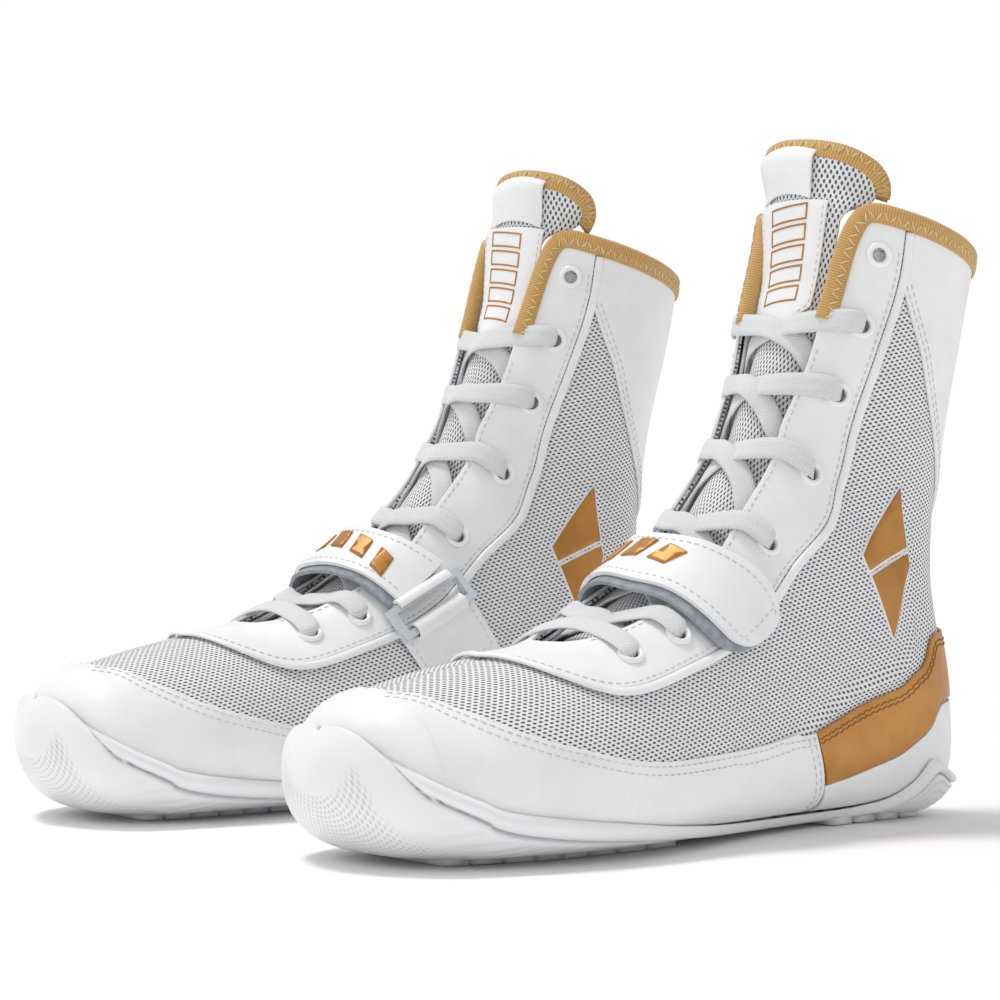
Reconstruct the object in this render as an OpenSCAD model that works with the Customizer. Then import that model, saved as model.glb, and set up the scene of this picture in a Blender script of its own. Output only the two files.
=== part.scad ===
// A pair of high-top boxing boots with lace front, instep strap and loop ring.
// Units are millimetres, +Z is up and the toes point along -Y. The boots stand on z = 0.

/* [Pair] */
// Distance of each boot's middle line from the middle of the pair
boot_x = 84; // [76:1:110]
// How far the boots are moved along Y to lie evenly about the origin
boot_y = 0.9; // [-5:0.1:5]
// How far the right boot stands ahead of the left one
stagger = 12; // [0:1:20]
// How far each toe is turned outwards, in degrees
toe_out = 3; // [0:0.5:4]

/* [Sole] */
// Thickness of the flat tread pads under the outsole
tread_t = 2; // [1.5:0.1:2.5]
// Thickness of the outsole's side wall
wall_t = 3.6; // [2.5:0.1:4.5]
// Width of one tread groove
groove_w = 1.6; // [1:0.1:2.5]

/* [Upper] */
// Thickness of a smooth overlay panel
panel_t = 1.2; // [0.8:0.1:1.4]
// Thickness of the mesh fabric
mesh_t = 0.9; // [0.6:0.1:1]
// Thickness of the padded inner lining
lining_t = 1.2; // [0.8:0.1:1.4]
// Thickness of the padded tongue
tongue_t = 4; // [2.5:0.5:4.5]

/* [Fastening] */
// Width of the flat lace
lace_w = 7; // [5:0.5:8]
// Thickness of the flat lace
lace_t = 1.1; // [0.8:0.1:1.2]
// Outer radius of an eyelet
eyelet_r = 4.8; // [4:0.1:5.5]
// Radius of an eyelet's hole
eyelet_hole_r = 2.6; // [2.2:0.1:3]
// Thickness of the ring's square bars
ring_bar = 3; // [2.5:0.1:3.2]

/* [Hidden] */
// Sections of the boot from toe tip to tongue top. Each row holds the front point (y, z), the
// back point (y, z), the half width, where it is widest, the sideways shift and the two roundness
// numbers, front and back. A roundness of 2 is an ellipse and more is squarer.
SECTIONS = [
    [-145,  33, -145,  31,  0, 0.50, -7, 2.0, 2.0],
    [-135,  53, -132,  11, 29, 0.62, -7, 2.1, 2.6],
    [-112,  60, -110,   6.5, 42, 0.70, -5, 2.1, 3.2],
    [ -83,  66,  -81,   6.5, 49, 0.74, -2, 2.1, 3.6],
    [ -52,  71,  -51,   6.5, 49, 0.74,  0, 2.0, 3.8],
    [ -22,  86,  -12,   6.5, 46, 0.73,  0, 2.0, 3.8],
    [   3, 104,   32,   6.5, 41, 0.70,  0, 2.0, 3.8],
    [  21, 126,   80,   6.5, 38, 0.62,  0, 2.0, 3.6],
    [  33, 144,  122,   6.5, 38, 0.60,  0, 2.0, 3.2],
    [  39, 158,  132,  32, 34, 0.58,  0, 2.0, 2.6],
    [  47, 172,  128,  77, 32, 0.52,  0, 2.1, 2.2],
    [  56, 190,  130, 130, 35, 0.50,  0, 2.2, 2.1],
    [  65, 214,  140, 180, 38, 0.50,  0, 2.2, 2.1],
    [  75, 244,  150, 232, 41, 0.50,  0, 2.2, 2.1],
    [  84, 272,  158, 284, 43, 0.50,  0, 2.2, 2.1]
];
// Where the collar and the front of the throat lie along the boot
collar_u = 12.45;
throat_u = 3;
// Depths of the layers, measured outwards from the outer skin
panel_o = -0.2;
mesh_o = -1.2;
stiff_o = -2.1;
stiff_t = 0.8;
lining_o = -3.4;
board_o = -5.1;
sock_o = -8.8;
tongue_o = -10.2;
outer_o = 1.05;

// Eyelet places, top row first, as place along the boot and angle round it
EYELETS = [[12.0, 54], [11.15, 56], [10.15, 53], [8.4, 43], [6.85, 43], [5.9, 42], [5.03, 40], [4.38, 35]];
// Upper edge of the mudguard, as angle for each place along the boot. It is closed over the toe.
MUDGUARD_EDGE = [[0.3, 0], [1.4, 0], [1.46, 10], [1.75, 24], [1.97, 38], [2.25, 50], [2.6, 60],
                 [3.1, 69], [4.2, 80], [5.2, 86], [6.35, 91]];
MUDGUARD_ROWS = [0.3, 0.6, 0.9, 1.15, 1.4, 1.46, 1.6, 1.75, 1.97, 2.25, 2.6, 3.1, 3.6, 4.2, 4.7, 5.2, 5.8, 6.35];
MUDGUARD_CLOSED_ROWS = 5;
// Inner and outer edges of the eyestay, from the collar down to the throat's middle
EYESTAY_INNER = [[collar_u, 36], [11.8, 33], [11, 33], [10.1, 34], [8.6, 28], [7, 28], [5.9, 28],
                 [5, 26], [4.4, 20], [4, 10], [3.9, 0]];
EYESTAY_OUTER = [[collar_u, 64], [11.8, 68], [11.1, 67], [10.1, 62], [8.6, 53], [7.1, 53], [6, 54],
                 [5, 52], [4, 46], [3.4, 28], [3.1, 0]];
// Top edge of the outsole's side wall, as angle for each place along the boot
SOLE_EDGE = [[0.03, 0], [0.5, 0], [0.58, 14], [0.68, 36], [0.82, 60], [1, 72], [1.4, 82], [2, 90],
             [2.8, 97], [3.8, 108], [4.6, 126], [5.2, 142], [6, 157], [6.7, 161], [7.1, 152],
             [7.45, 132], [7.75, 119], [8, 130], [8.3, 150], [8.6, 171]];
SOLE_CLOSED_ROWS = 3;
// Edges of the panels behind the mudguard, from the outer side to the middle of the heel
GOLD_TOP = [[6.36, 91], [7, 92], [7.6, 92], [8.2, 93], [9, 103], [9.45, 125], [9.75, 150], [9.85, 180]];
GOLD_LOW = [[6.38, 118], [6.8, 117], [7.25, 114], [7.75, 107], [8.35, 107], [8.85, 125], [9.2, 150], [9.35, 180]];
HEEL_LOW = [[6.46, 166], [6.9, 168], [7.2, 168], [7.5, 166], [7.8, 166], [8.1, 168], [8.3, 172], [8.35, 180]];
UPPER_HEEL_TOP = [[collar_u, 70], [collar_u, 84], [collar_u, 98], [collar_u, 112], [collar_u, 130], [collar_u, 154], [collar_u, 180]];
UPPER_HEEL_LOW = [[11.8, 71], [11.6, 80], [11.35, 92], [11.05, 105], [10.8, 124], [10.62, 150], [10.55, 180]];
// Strap edges from the ring on the inner side to the free end on the outer side
STRAP_BACK = [[6.38, -45, 5.2], [6.2, -32, 5.2], [6.0, -14, 5], [5.94, 6, 5], [6.14, 26, 5.2], [6.36, 44, 5.2], [6.42, 60, 3.6]];
STRAP_FRONT = [[5.5, -45, 5.2], [5.36, -30, 5.2], [5.2, -12, 5], [5.1, 8, 5], [5.24, 26, 5.2], [5.4, 46, 5.2], [5.6, 60, 3.6]];

// ---- The boot's surface ----

// A smooth curve through four neighbours, from b to c as t runs from 0 to 1
function smooth(a, b, c, d, t) =
    0.5 * (2 * b + (c - a) * t + (2 * a - 5 * b + 4 * c - d) * t * t + (3 * b - 3 * c + d - a) * t * t * t);

// The section before the toe tip is the first one turned over, which makes the toe round
function before_toe(s) = [s[2], s[3], s[0], s[1], -s[4], s[5], s[6], s[7], s[8]];

function section(u) =
    let (last = len(SECTIONS) - 1, i = min(max(floor(u), 0), last - 1),
         a = i == 0 ? before_toe(SECTIONS[1]) : SECTIONS[i - 1],
         d = i == last - 1 ? 2 * SECTIONS[last] - SECTIONS[last - 1] : SECTIONS[i + 2])
    smooth(a, SECTIONS[i], SECTIONS[i + 1], d, u - i);

// A point of the skin: u runs from toe tip (0) to tongue top (14), v is the angle round the
// section, 0 at the front, 90 on the outer side and 180 at the sole or the back
function skin(u, v) =
    let (s = section(u), c = cos(v), e = 2 / (c >= 0 ? s[7] : s[8]),
         along = pow(abs(c), e), across = sign(sin(v)) * pow(abs(sin(v)), e),
         mid = [s[0] + (s[2] - s[0]) * s[5], s[1] + (s[3] - s[1]) * s[5]],
         tip = c >= 0 ? [s[0], s[1]] : [s[2], s[3]],
         side = mid + (tip - mid) * along)
    [s[6] + s[4] * across, side[0], side[1]];

function unit(a) = a / norm(a);

function normal(u, v) =
    unit(cross(skin(u, v + 0.6) - skin(u, v - 0.6), skin(u + 0.01, v) - skin(u - 0.01, v)));

// A point at a depth o outwards from the skin. Nothing sinks below the top of the treads.
function place(p) =
    let (q = skin(p[0], p[1]) + p[2] * normal(p[0], p[1]))
    [q[0], q[1], max(q[2], tread_t)];

// ---- Grids of places and solid sheets made from them ----

// A place on a curve drawn through the listed places, with t from 0 to 1
function along_edge(edge, t) =
    let (n = len(edge) - 1, i = min(floor(t * n), n - 1),
         a = i == 0 ? 2 * edge[0] - edge[1] : edge[i - 1],
         d = i == n - 1 ? 2 * edge[n] - edge[n - 1] : edge[i + 2])
    smooth(a, edge[i], edge[i + 1], d, t * n - i);

function mix(a, b, t) = a + (b - a) * t;

// A grid of places between two edges, at depth o where the edges don't say their own
function between(edge_a, edge_b, rows, cols, o = 0) =
    [for (i = [0:rows]) [for (j = [0:cols])
        let (p = mix(along_edge(edge_a, i / rows), along_edge(edge_b, i / rows), j / cols))
        len(p) == 3 ? p : [p[0], p[1], o]]];

// An edge and its mirror image on the boot's other side, joined at the sole or back (turn 360)
// or at the front (turn 0)
function both_sides(edge, turn) =
    concat(edge, [for (i = [len(edge) - 2:-1:0])
        len(edge[i]) == 3 ? [edge[i][0], turn - edge[i][1], edge[i][2]] : [edge[i][0], turn - edge[i][1]]]);

function other_side(edge) =
    [for (p = edge) len(p) == 3 ? [p[0], -p[1], p[2]] : [p[0], -p[1]]];

// A grid with one row for each listed place u and the columns spread from v1 to v2
function rows_at(list, v1, v2, cols, o) =
    [for (u = list) [for (j = [0:cols]) [u, mix(v1, v2, j / cols), o]]];

// A closed sheet, t thick, on a grid of places. The first closed rows go all the way round:
// their first and last columns are one line, so they have no side walls there.
module sheet(grid, t, closed = 0) {
    rows = len(grid) - 1;
    cols = len(grid[0]) - 1;
    w = cols + 1;
    count = (rows + 1) * w;
    low = [for (r = grid) for (p = r) place(p)];
    high = [for (r = grid) for (p = r) place(p + [0, 0, t])];
    // a wrapped row's last column is its first column
    function at(i, j) = i * w + (i < closed && j == cols ? 0 : j);
    k = at(floor(rows / 2), floor(cols / 2));
    flip = cross(low[k + w] - low[k], low[k + 1] - low[k]) * (high[k] - low[k]) > 0;
    function quad(a, b, c, d) = flip ? [[a, c, b], [a, d, c]] : [[a, b, c], [a, c, d]];
    cells = [for (i = [0:rows - 1]) for (j = [0:cols - 1])
        let (a = at(i, j), b = at(i, j + 1), c = at(i + 1, j + 1), d = at(i + 1, j))
        each concat(quad(a, b, c, d), quad(a + count, d + count, c + count, b + count))];
    walls = [for (i = [closed > 0 ? closed - 1 : 0:rows - 1])
        let (a = at(i, 0), b = at(i + 1, 0), c = at(i, cols), d = at(i + 1, cols))
        each concat(quad(a, b, b + count, a + count), quad(d, c, c + count, d + count))];
    last_end = [for (j = [0:cols - 1])
        let (a = at(rows, j), b = at(rows, j + 1))
        each quad(a, b, b + count, a + count)];
    first_end = closed > 0
        ? [for (side = [0, count])
            let (loop = [for (j = [0:cols - 1]) at(0, j) + side])
            (side > 0) == flip ? [for (j = [cols - 1:-1:0]) loop[j]] : loop]
        : [for (j = [0:cols - 1])
            let (a = at(0, j), b = at(0, j + 1))
            each quad(b, a, a + count, b + count)];
    polyhedron(points = concat(low, high), faces = concat(cells, walls, last_end, first_end), convexity = 6);
}

// Puts a piece made round the Z axis on the skin, with Z pointing outwards
module on_skin(u, v, o = 0) {
    n = normal(u, v);
    translate(skin(u, v) + o * n) rotate(a = acos(n[2]), v = [-n[1], n[0], 0]) children();
}

// ---- The sole ----

SOLE_ROWS = [0.03, 0.25, 0.5, 0.58, 0.68, 0.82, 1, 1.25, 1.6, 2, 2.5, 3.2, 4, 4.6, 5.2, 5.8, 6.4,
             6.8, 7.1, 7.45, 7.75, 8, 8.3, 8.6];

module outsole() {
    grid = [for (u = SOLE_ROWS)
        let (edge = lookup(u, SOLE_EDGE))
        [for (j = [0:16]) [u, mix(edge, 360 - edge, j / 16), outer_o]]];
    color("#eef0f2") sheet(grid, wall_t, closed = SOLE_CLOSED_ROWS);
}

// A flat outline inside the boot's own outline, between two places along the boot
function pad_outline(u1, u2, angle, steps) = concat(
    [for (i = [0:steps]) let (p = skin(mix(u1, u2, i / steps), angle)) [p[0], p[1]]],
    [for (i = [steps:-1:0]) let (p = skin(mix(u1, u2, i / steps), -angle)) [p[0], p[1]]]);

// A flat pad with cross grooves
module tread(u1, u2, angle, grooves, first_y, pitch) {
    color("#e6e8ea") difference() {
        linear_extrude(tread_t) polygon(pad_outline(u1, u2, angle, 6));
        for (i = [0:grooves - 1])
            translate([0, first_y + i * pitch, 0]) cube([140, groove_w, tread_t], center = true);
    }
}

module forefoot_tread() { tread(1.7, 5, 150, 7, -96, 12); }
module heel_tread() { tread(6.7, 7.8, 150, 3, 74, 12); }

// ---- Pieces inside ----

INSIDE_ROWS = [for (i = [0:11]) 0.9 + i * 0.65];

module insole_board() {
    color("#c9b48c") sheet(rows_at(INSIDE_ROWS, 132, 228, 6, board_o), 1.5);
}
module sockliner() {
    color("#d8dadd") sheet(rows_at(INSIDE_ROWS, 134, 226, 6, sock_o), 3.5);
}
module toe_puff() {
    color("#d9cdb6") sheet(rows_at([0.3, 0.5, 0.75, 1.1, 1.5], -100, 100, 12, stiff_o), stiff_t);
}
module heel_counter() {
    color("#d9cdb6") sheet(rows_at([7, 7.5, 8, 8.5, 9, 9.5], 100, 260, 10, stiff_o), stiff_t);
}
module toe_lining() {
    color("#e9eaec") sheet(rows_at([0.25, 0.5, 0.85, 1.3, 2, throat_u], -176, 176, 16, lining_o), lining_t);
}

// Half of the shaft and foot, from the throat's edge to the middle of the sole and back
module half_shell(side, first_angle, o, t) {
    front = [for (p = EYESTAY_INNER) [p[0], p[1] + first_angle]];
    list = concat([for (i = [0:9]) throat_u + 0.02 + i * 0.7], [10, 10.7, 11.5, collar_u]);
    table = concat([[throat_u, 4], [3.7, 8], [4.1, 17]], [for (i = [7:-1:0]) front[i]]);
    grid = [for (u = list)
        let (edge = lookup(u, table))
        [for (j = [0:7]) [u, side * mix(edge, 176, j / 7), o]]];
    sheet(grid, t);
}
module lateral_lining() { color("#e9eaec") half_shell(1, 2, lining_o, lining_t); }
module medial_lining() { color("#e9eaec") half_shell(-1, 2, lining_o, lining_t); }

// ---- The outer fabric and panels ----

module vamp_mesh() {
    color("#dfe2e5") sheet(rows_at([0.25, 0.5, 0.85, 1.3, 2, throat_u], -176, 176, 18, mesh_o), mesh_t);
}
module lateral_mesh() { color("#dfe2e5") half_shell(1, 3, mesh_o, mesh_t); }
module medial_mesh() { color("#dfe2e5") half_shell(-1, 3, mesh_o, mesh_t); }

module mudguard() {
    grid = [for (u = MUDGUARD_ROWS)
        let (edge = lookup(u, MUDGUARD_EDGE))
        [for (j = [0:16]) [u, mix(edge, 360 - edge, j / 16), panel_o]]];
    color("#f4f5f6") sheet(grid, panel_t, closed = MUDGUARD_CLOSED_ROWS);
}
module heel_band() {
    color("#c88a3f") sheet(between(both_sides(GOLD_TOP, 360), both_sides(GOLD_LOW, 360), 28, 2, panel_o), panel_t);
}
module heel_cover() {
    gap = 0.02;
    top = [for (p = GOLD_LOW) [p[0] - gap, p[1] + 1]];
    color("#f4f5f6") sheet(between(both_sides(top, 360), both_sides(HEEL_LOW, 360), 28, 2, panel_o), panel_t);
}
module upper_heel_panel() {
    color("#f4f5f6") sheet(between(both_sides(UPPER_HEEL_TOP, 360), both_sides(UPPER_HEEL_LOW, 360), 24, 2, panel_o), panel_t);
}

// One side of the eyestay with a hole under each eyelet
module eyestay(side) {
    a = side > 0 ? EYESTAY_INNER : other_side(EYESTAY_INNER);
    b = side > 0 ? EYESTAY_OUTER : other_side(EYESTAY_OUTER);
    color("#f4f5f6") difference() {
        sheet(between(a, b, 26, 3, panel_o), panel_t);
        for (p = EYELETS) on_skin(p[0], side * p[1], -4) cylinder(h = 8, r = eyelet_hole_r + 0.6, $fn = 24);
    }
}
module lateral_eyestay() { eyestay(1); }
module medial_eyestay() { eyestay(-1); }

// The raised cord along the eyestay's outer edge
module piping() {
    share = 0.12;
    inner = [for (i = [0:len(EYESTAY_OUTER) - 1]) mix(EYESTAY_OUTER[i], EYESTAY_INNER[i], share)];
    color("#f7f8f9") sheet(between(both_sides(inner, 0), both_sides(EYESTAY_OUTER, 0), 44, 1, outer_o), 0.9);
}

// The ribbed band over the collar's edge, from one side of the throat round the back to the other
module collar_binding() {
    depth = lining_o - 0.6;
    edge = [[11, 31], [11.8, 31], [12.3, 34], [12.47, 42], [12.47, 60], [12.47, 90], [12.47, 120], [12.47, 150], [12.47, 180]];
    rim = [[11, 26], [11.8, 26], [12.45, 29], [12.66, 42], [12.66, 60], [12.66, 90], [12.66, 120], [12.66, 150], [12.66, 180]];
    color("#d4a860") sheet(between(both_sides(edge, 360), both_sides(rim, 360), 44, 1, depth), panel_t - depth + 0.4);
}

// ---- Lacing ----

module eyelets() {
    color("#fbfcfd") for (p = EYELETS) for (side = [1, -1])
        on_skin(p[0], side * p[1]) rotate_extrude($fn = 28) polygon([
            [eyelet_hole_r, -4.2], [eyelet_hole_r + 0.5, -4.2], [eyelet_hole_r + 0.5, 1.05],
            [eyelet_r, 1.05], [eyelet_r, 1.5], [eyelet_r - 0.7, 2.1], [eyelet_hole_r + 0.5, 2.1],
            [eyelet_hole_r, 1.6]]);
}

// Places of one crossing: out over an eyelet, over the tongue and under the other side's edge
function crossing(i, side, lift) =
    let (a = EYELETS[i], b = EYELETS[i + 1], mid = (a[0] + b[0]) / 2)
    [[a[0], side * (a[1] - 1), 2.9], [a[0] - 0.12 * (a[0] - b[0]), side * (a[1] - 12), 2.4],
     [mix(a[0], b[0], 0.34), side * a[1] * 0.42, -1], [mid, 0, lift],
     [mix(a[0], b[0], 0.66), -side * b[1] * 0.42, -4.6], [mix(a[0], b[0], 0.9), -side * (b[1] - 12), -4.9],
     [b[0], -side * (b[1] - 1), -4.9], [b[0], -side * (b[1] + 1), -1]];

// From the top on one side to the bottom row, crossing at every row
function strand(side, lift_a, lift_b, i = 1) =
    i > 6 ? [] : concat(crossing(i, side, i % 2 == 0 ? lift_a : lift_b), strand(-side, lift_a, lift_b, i + 1));

function lace_end(side) =
    [[10.6, side * 52, -5], [10.9, side * 55, -5], [EYELETS[1][0], side * 57, -4.9], [EYELETS[1][0], side * 57.5, -1]];

LACE_ROUTE =
    let (low = EYELETS[7], down = strand(1, -3.1, -4.8), up = strand(-1, -4.8, -3.1))
    concat(lace_end(1), down,
        [[low[0], low[1] - 1, 2.9], [low[0], low[1] * 0.6, 1.4], [low[0], 0, 0.6], [low[0], -low[1] * 0.6, 1.4],
         [low[0], 1 - low[1], 2.9]],
        [for (i = [len(up) - 1:-1:0]) up[i]], [for (i = [3:-1:0]) lace_end(-1)[i]]);

// A flat ribbon along a route of places. Its width lies along the boot.
module ribbon(route, width, t) {
    pts = [for (p = route) skin(p[0], p[1]) + p[2] * normal(p[0], p[1])];
    last = len(pts) - 1;
    rings = [for (i = [0:last])
        let (go = unit(pts[min(i + 1, last)] - pts[max(i - 1, 0)]),
             row = skin(route[i][0] + 0.1, route[i][1]) - skin(route[i][0] - 0.1, route[i][1]),
             across = unit(row - (row * go) * go), up = cross(go, across),
             w = (abs(route[i][2] + 1) < 0.01 ? 0.55 : 1) * width / 2)
        [pts[i] + w * across + t / 2 * up, pts[i] - w * across + t / 2 * up,
         pts[i] - w * across - t / 2 * up, pts[i] + w * across - t / 2 * up]];
    polyhedron(points = [for (r = rings) each r],
        faces = concat([[3, 2, 1, 0], [4 * last, 4 * last + 1, 4 * last + 2, 4 * last + 3]],
            [for (i = [0:last - 1]) for (j = [0:3])
                let (a = 4 * i + j, b = 4 * i + (j + 1) % 4)
                each [[a, b, b + 4], [a, b + 4, a + 4]]]), convexity = 12);
}
module lace() { color("#fafafa") ribbon(LACE_ROUTE, lace_w, lace_t); }

// ---- Tongue ----

module tongue() {
    color("#e3e5e8") sheet(between([[3.95, -20], [5, -30], [7, -34], [9, -38], [11, -38]],
        [[3.95, 20], [5, 30], [7, 34], [9, 38], [11, 38]], 16, 5, tongue_o), tongue_t);
}
// Rows of the tongue's top: place along the boot, half angle, middle angle, and the depth of its
// inner face in the middle and at the sides. It leans forward out of the collar and to the inner side.
TONGUE_TOP = [[11.1, 25, 0, -10.2, -10.2], [11.5, 25, 0, -9.3, -9.5], [12, 25, 0, -6.5, -7.4], [12.56, 25, 0, -2.4, -4.6],
              [12.7, 47, -2, -1.2, -9], [12.8, 44, -4, 0, -8.4], [12.9, 36, -6, 1, -6], [12.97, 26, -7, 1.6, -3],
              [13.02, 14, -8, 1.6, 0.6]];

module tongue_top() {
    color("#e3e5e8") sheet([for (r = TONGUE_TOP) [for (j = [-4:4])
        [r[0], r[2] + r[1] * j / 4, mix(r[3], r[4], j * j / 16)]]], tongue_t);
}
module pull_tab() {
    rows = [[12.72, -2, -1], [12.8, -4, 0], [12.9, -6, 1], [12.97, -7, 1.6], [13.02, -8, 1.6]];
    color("#f7f8f9") sheet([for (r = rows) [for (j = [-1:1]) [r[0], r[1] + 12 * j, r[2] + tongue_t + 0.1]]], 1.2);
}

// ---- Strap, ring and keeper ----

// The lower layer starts at the outer side of the sole and ends at the ring
module strap_base() {
    lower = 1.7;
    back = concat([for (p = STRAP_BACK) [p[0], p[1], p[2] - lower]], [[6.3, 74, 0.2]]);
    front = concat([for (p = STRAP_FRONT) [p[0], p[1], p[2] - lower]], [[5.6, 74, 0.2]]);
    color("#a9b0ba") sheet(between(back, front, 16, 2), 1.2);
}
module strap_flap() {
    color("#f4f5f6") sheet(between(STRAP_BACK, STRAP_FRONT, 16, 2), 1.8);
}

// The ring lies flat on the inner side. Its upper bar takes the strap and its lower bar is held.
RING_U = 5.92;
RING_V = -53;
RING_O = 5;
RING_HALF = 17.5;
RING_SPAN = 11;
KEEPER_LOOP_R = 3.5;
KEEPER_BORE_R = 2.5;
KEEPER_LOOP_LENGTH = 26;
ring_row = unit(skin(6.3, -54) - skin(5.5, -52));
ring_out = let (n = normal(RING_U, -54)) unit(n - (n * ring_row) * ring_row);
ring_down = cross(ring_out, ring_row);
ring_mid = skin(RING_U, RING_V) + RING_O * ring_out;

module bar(a, b, r) {
    d = b - a;
    translate(a) rotate(a = acos(d[2] / norm(d)), v = [-d[1], d[0], 0]) cylinder(h = norm(d), r = r, $fn = 20);
}
// A flat rectangular frame with square bars
module ring() {
    m = [for (i = [0:2]) [ring_row[i], ring_down[i], ring_out[i], ring_mid[i]]];
    color("#d5dde3") multmatrix(concat(m, [[0, 0, 0, 1]])) linear_extrude(ring_bar, center = true)
        difference() {
            square([2 * RING_HALF + ring_bar, RING_SPAN + ring_bar], center = true);
            square([2 * RING_HALF - ring_bar, RING_SPAN - ring_bar], center = true);
        }
}
// A stitched patch with a loop round the ring's lower bar
module ring_keeper() {
    pivot = ring_mid + RING_SPAN / 2 * ring_down;
    reach = KEEPER_LOOP_LENGTH / 2 * ring_row;
    color("#f4f5f6") {
        sheet(between([[5.4, -57, 1.1], [6.5, -58, 1.1]], [[5.55, -74, 1.1], [6.6, -80, 1.1]], 5, 3), 1.4);
        difference() {
            bar(pivot - reach, pivot + reach, KEEPER_LOOP_R);
            bar(pivot - 1.1 * reach, pivot + 1.1 * reach, KEEPER_BORE_R);
        }
    }
}

// ---- The pair ----

module left() { translate([boot_x, boot_y + stagger / 2, 0]) rotate([0, 0, toe_out]) children(); }
module right() { translate([0, -stagger, 0]) mirror([1, 0, 0]) left() children(); }

left() outsole();  // left_outsole
left() forefoot_tread();  // left_forefoot_tread
left() heel_tread();  // left_heel_tread
left() insole_board();  // left_insole_board
left() sockliner();  // left_sockliner
left() toe_puff();  // left_toe_puff
left() heel_counter();  // left_heel_counter
left() toe_lining();  // left_toe_lining
left() lateral_lining();  // left_lateral_lining
left() medial_lining();  // left_medial_lining
left() vamp_mesh();  // left_vamp_mesh
left() lateral_mesh();  // left_lateral_mesh
left() medial_mesh();  // left_medial_mesh
left() mudguard();  // left_mudguard
left() heel_band();  // left_heel_band
left() heel_cover();  // left_heel_cover
left() upper_heel_panel();  // left_upper_heel_panel
left() lateral_eyestay();  // left_lateral_eyestay
left() medial_eyestay();  // left_medial_eyestay
left() piping();  // left_piping
left() collar_binding();  // left_collar_binding
left() eyelets();  // left_eyelets
left() lace();  // left_lace
left() tongue();  // left_tongue
left() tongue_top();  // left_tongue_top
left() pull_tab();  // left_pull_tab
left() strap_base();  // left_strap_base
left() strap_flap();  // left_strap_flap
left() ring();  // left_ring
left() ring_keeper();  // left_ring_keeper
right() outsole();  // right_outsole
right() forefoot_tread();  // right_forefoot_tread
right() heel_tread();  // right_heel_tread
right() insole_board();  // right_insole_board
right() sockliner();  // right_sockliner
right() toe_puff();  // right_toe_puff
right() heel_counter();  // right_heel_counter
right() toe_lining();  // right_toe_lining
right() lateral_lining();  // right_lateral_lining
right() medial_lining();  // right_medial_lining
right() vamp_mesh();  // right_vamp_mesh
right() lateral_mesh();  // right_lateral_mesh
right() medial_mesh();  // right_medial_mesh
right() mudguard();  // right_mudguard
right() heel_band();  // right_heel_band
right() heel_cover();  // right_heel_cover
right() upper_heel_panel();  // right_upper_heel_panel
right() lateral_eyestay();  // right_lateral_eyestay
right() medial_eyestay();  // right_medial_eyestay
right() piping();  // right_piping
right() collar_binding();  // right_collar_binding
right() eyelets();  // right_eyelets
right() lace();  // right_lace
right() tongue();  // right_tongue
right() tongue_top();  // right_tongue_top
right() pull_tab();  // right_pull_tab
right() strap_base();  // right_strap_base
right() strap_flap();  // right_strap_flap
right() ring();  // right_ring
right() ring_keeper();  // right_ring_keeper
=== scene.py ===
"""A pair of high-top boxing boots: the finished pieces, their materials and the studio."""
import math

import bmesh
import bpy
import numpy as np
from mathutils import Matrix, Vector


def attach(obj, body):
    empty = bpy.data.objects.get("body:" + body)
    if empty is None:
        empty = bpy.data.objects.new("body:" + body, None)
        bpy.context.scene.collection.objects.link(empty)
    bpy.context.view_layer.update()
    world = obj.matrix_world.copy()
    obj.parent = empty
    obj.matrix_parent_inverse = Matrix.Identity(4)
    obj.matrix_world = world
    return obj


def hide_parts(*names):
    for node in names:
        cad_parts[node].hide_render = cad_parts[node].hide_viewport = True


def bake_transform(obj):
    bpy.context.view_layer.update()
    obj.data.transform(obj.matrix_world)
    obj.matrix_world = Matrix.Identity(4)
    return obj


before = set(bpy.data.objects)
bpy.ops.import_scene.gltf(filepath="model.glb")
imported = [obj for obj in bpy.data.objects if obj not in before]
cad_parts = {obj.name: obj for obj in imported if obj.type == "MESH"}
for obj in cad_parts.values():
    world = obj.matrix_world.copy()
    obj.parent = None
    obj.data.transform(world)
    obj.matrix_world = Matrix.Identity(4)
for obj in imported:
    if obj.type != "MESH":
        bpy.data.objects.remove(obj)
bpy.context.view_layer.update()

MM = 0.001

# ---- The design's own dimensions, in millimetres and degrees ----

BOOT_X = 84
BOOT_Y = 0.9
STAGGER = 12
TOE_OUT = 3
COLLAR_U = 12.45
GROUND_GAP = 0.4

# Sections from toe tip to tongue top: front point (y, z), back point (y, z), half width, where it
# is widest, sideways shift, roundness in front and behind
SECTIONS = np.array([
    [-145, 33, -145, 31, 0, 0.50, -7, 2.0, 2.0],
    [-135, 53, -132, 11, 29, 0.62, -7, 2.1, 2.6],
    [-112, 60, -110, 6.5, 42, 0.70, -5, 2.1, 3.2],
    [-83, 66, -81, 6.5, 49, 0.74, -2, 2.1, 3.6],
    [-52, 71, -51, 6.5, 49, 0.74, 0, 2.0, 3.8],
    [-22, 86, -12, 6.5, 46, 0.73, 0, 2.0, 3.8],
    [3, 104, 32, 6.5, 41, 0.70, 0, 2.0, 3.8],
    [21, 126, 80, 6.5, 38, 0.62, 0, 2.0, 3.6],
    [33, 144, 122, 6.5, 38, 0.60, 0, 2.0, 3.2],
    [39, 158, 132, 32, 34, 0.58, 0, 2.0, 2.6],
    [47, 172, 128, 77, 32, 0.52, 0, 2.1, 2.2],
    [56, 190, 130, 130, 35, 0.50, 0, 2.2, 2.1],
    [65, 214, 140, 180, 38, 0.50, 0, 2.2, 2.1],
    [75, 244, 150, 232, 41, 0.50, 0, 2.2, 2.1],
    [84, 272, 158, 284, 43, 0.50, 0, 2.2, 2.1]], float)

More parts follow.
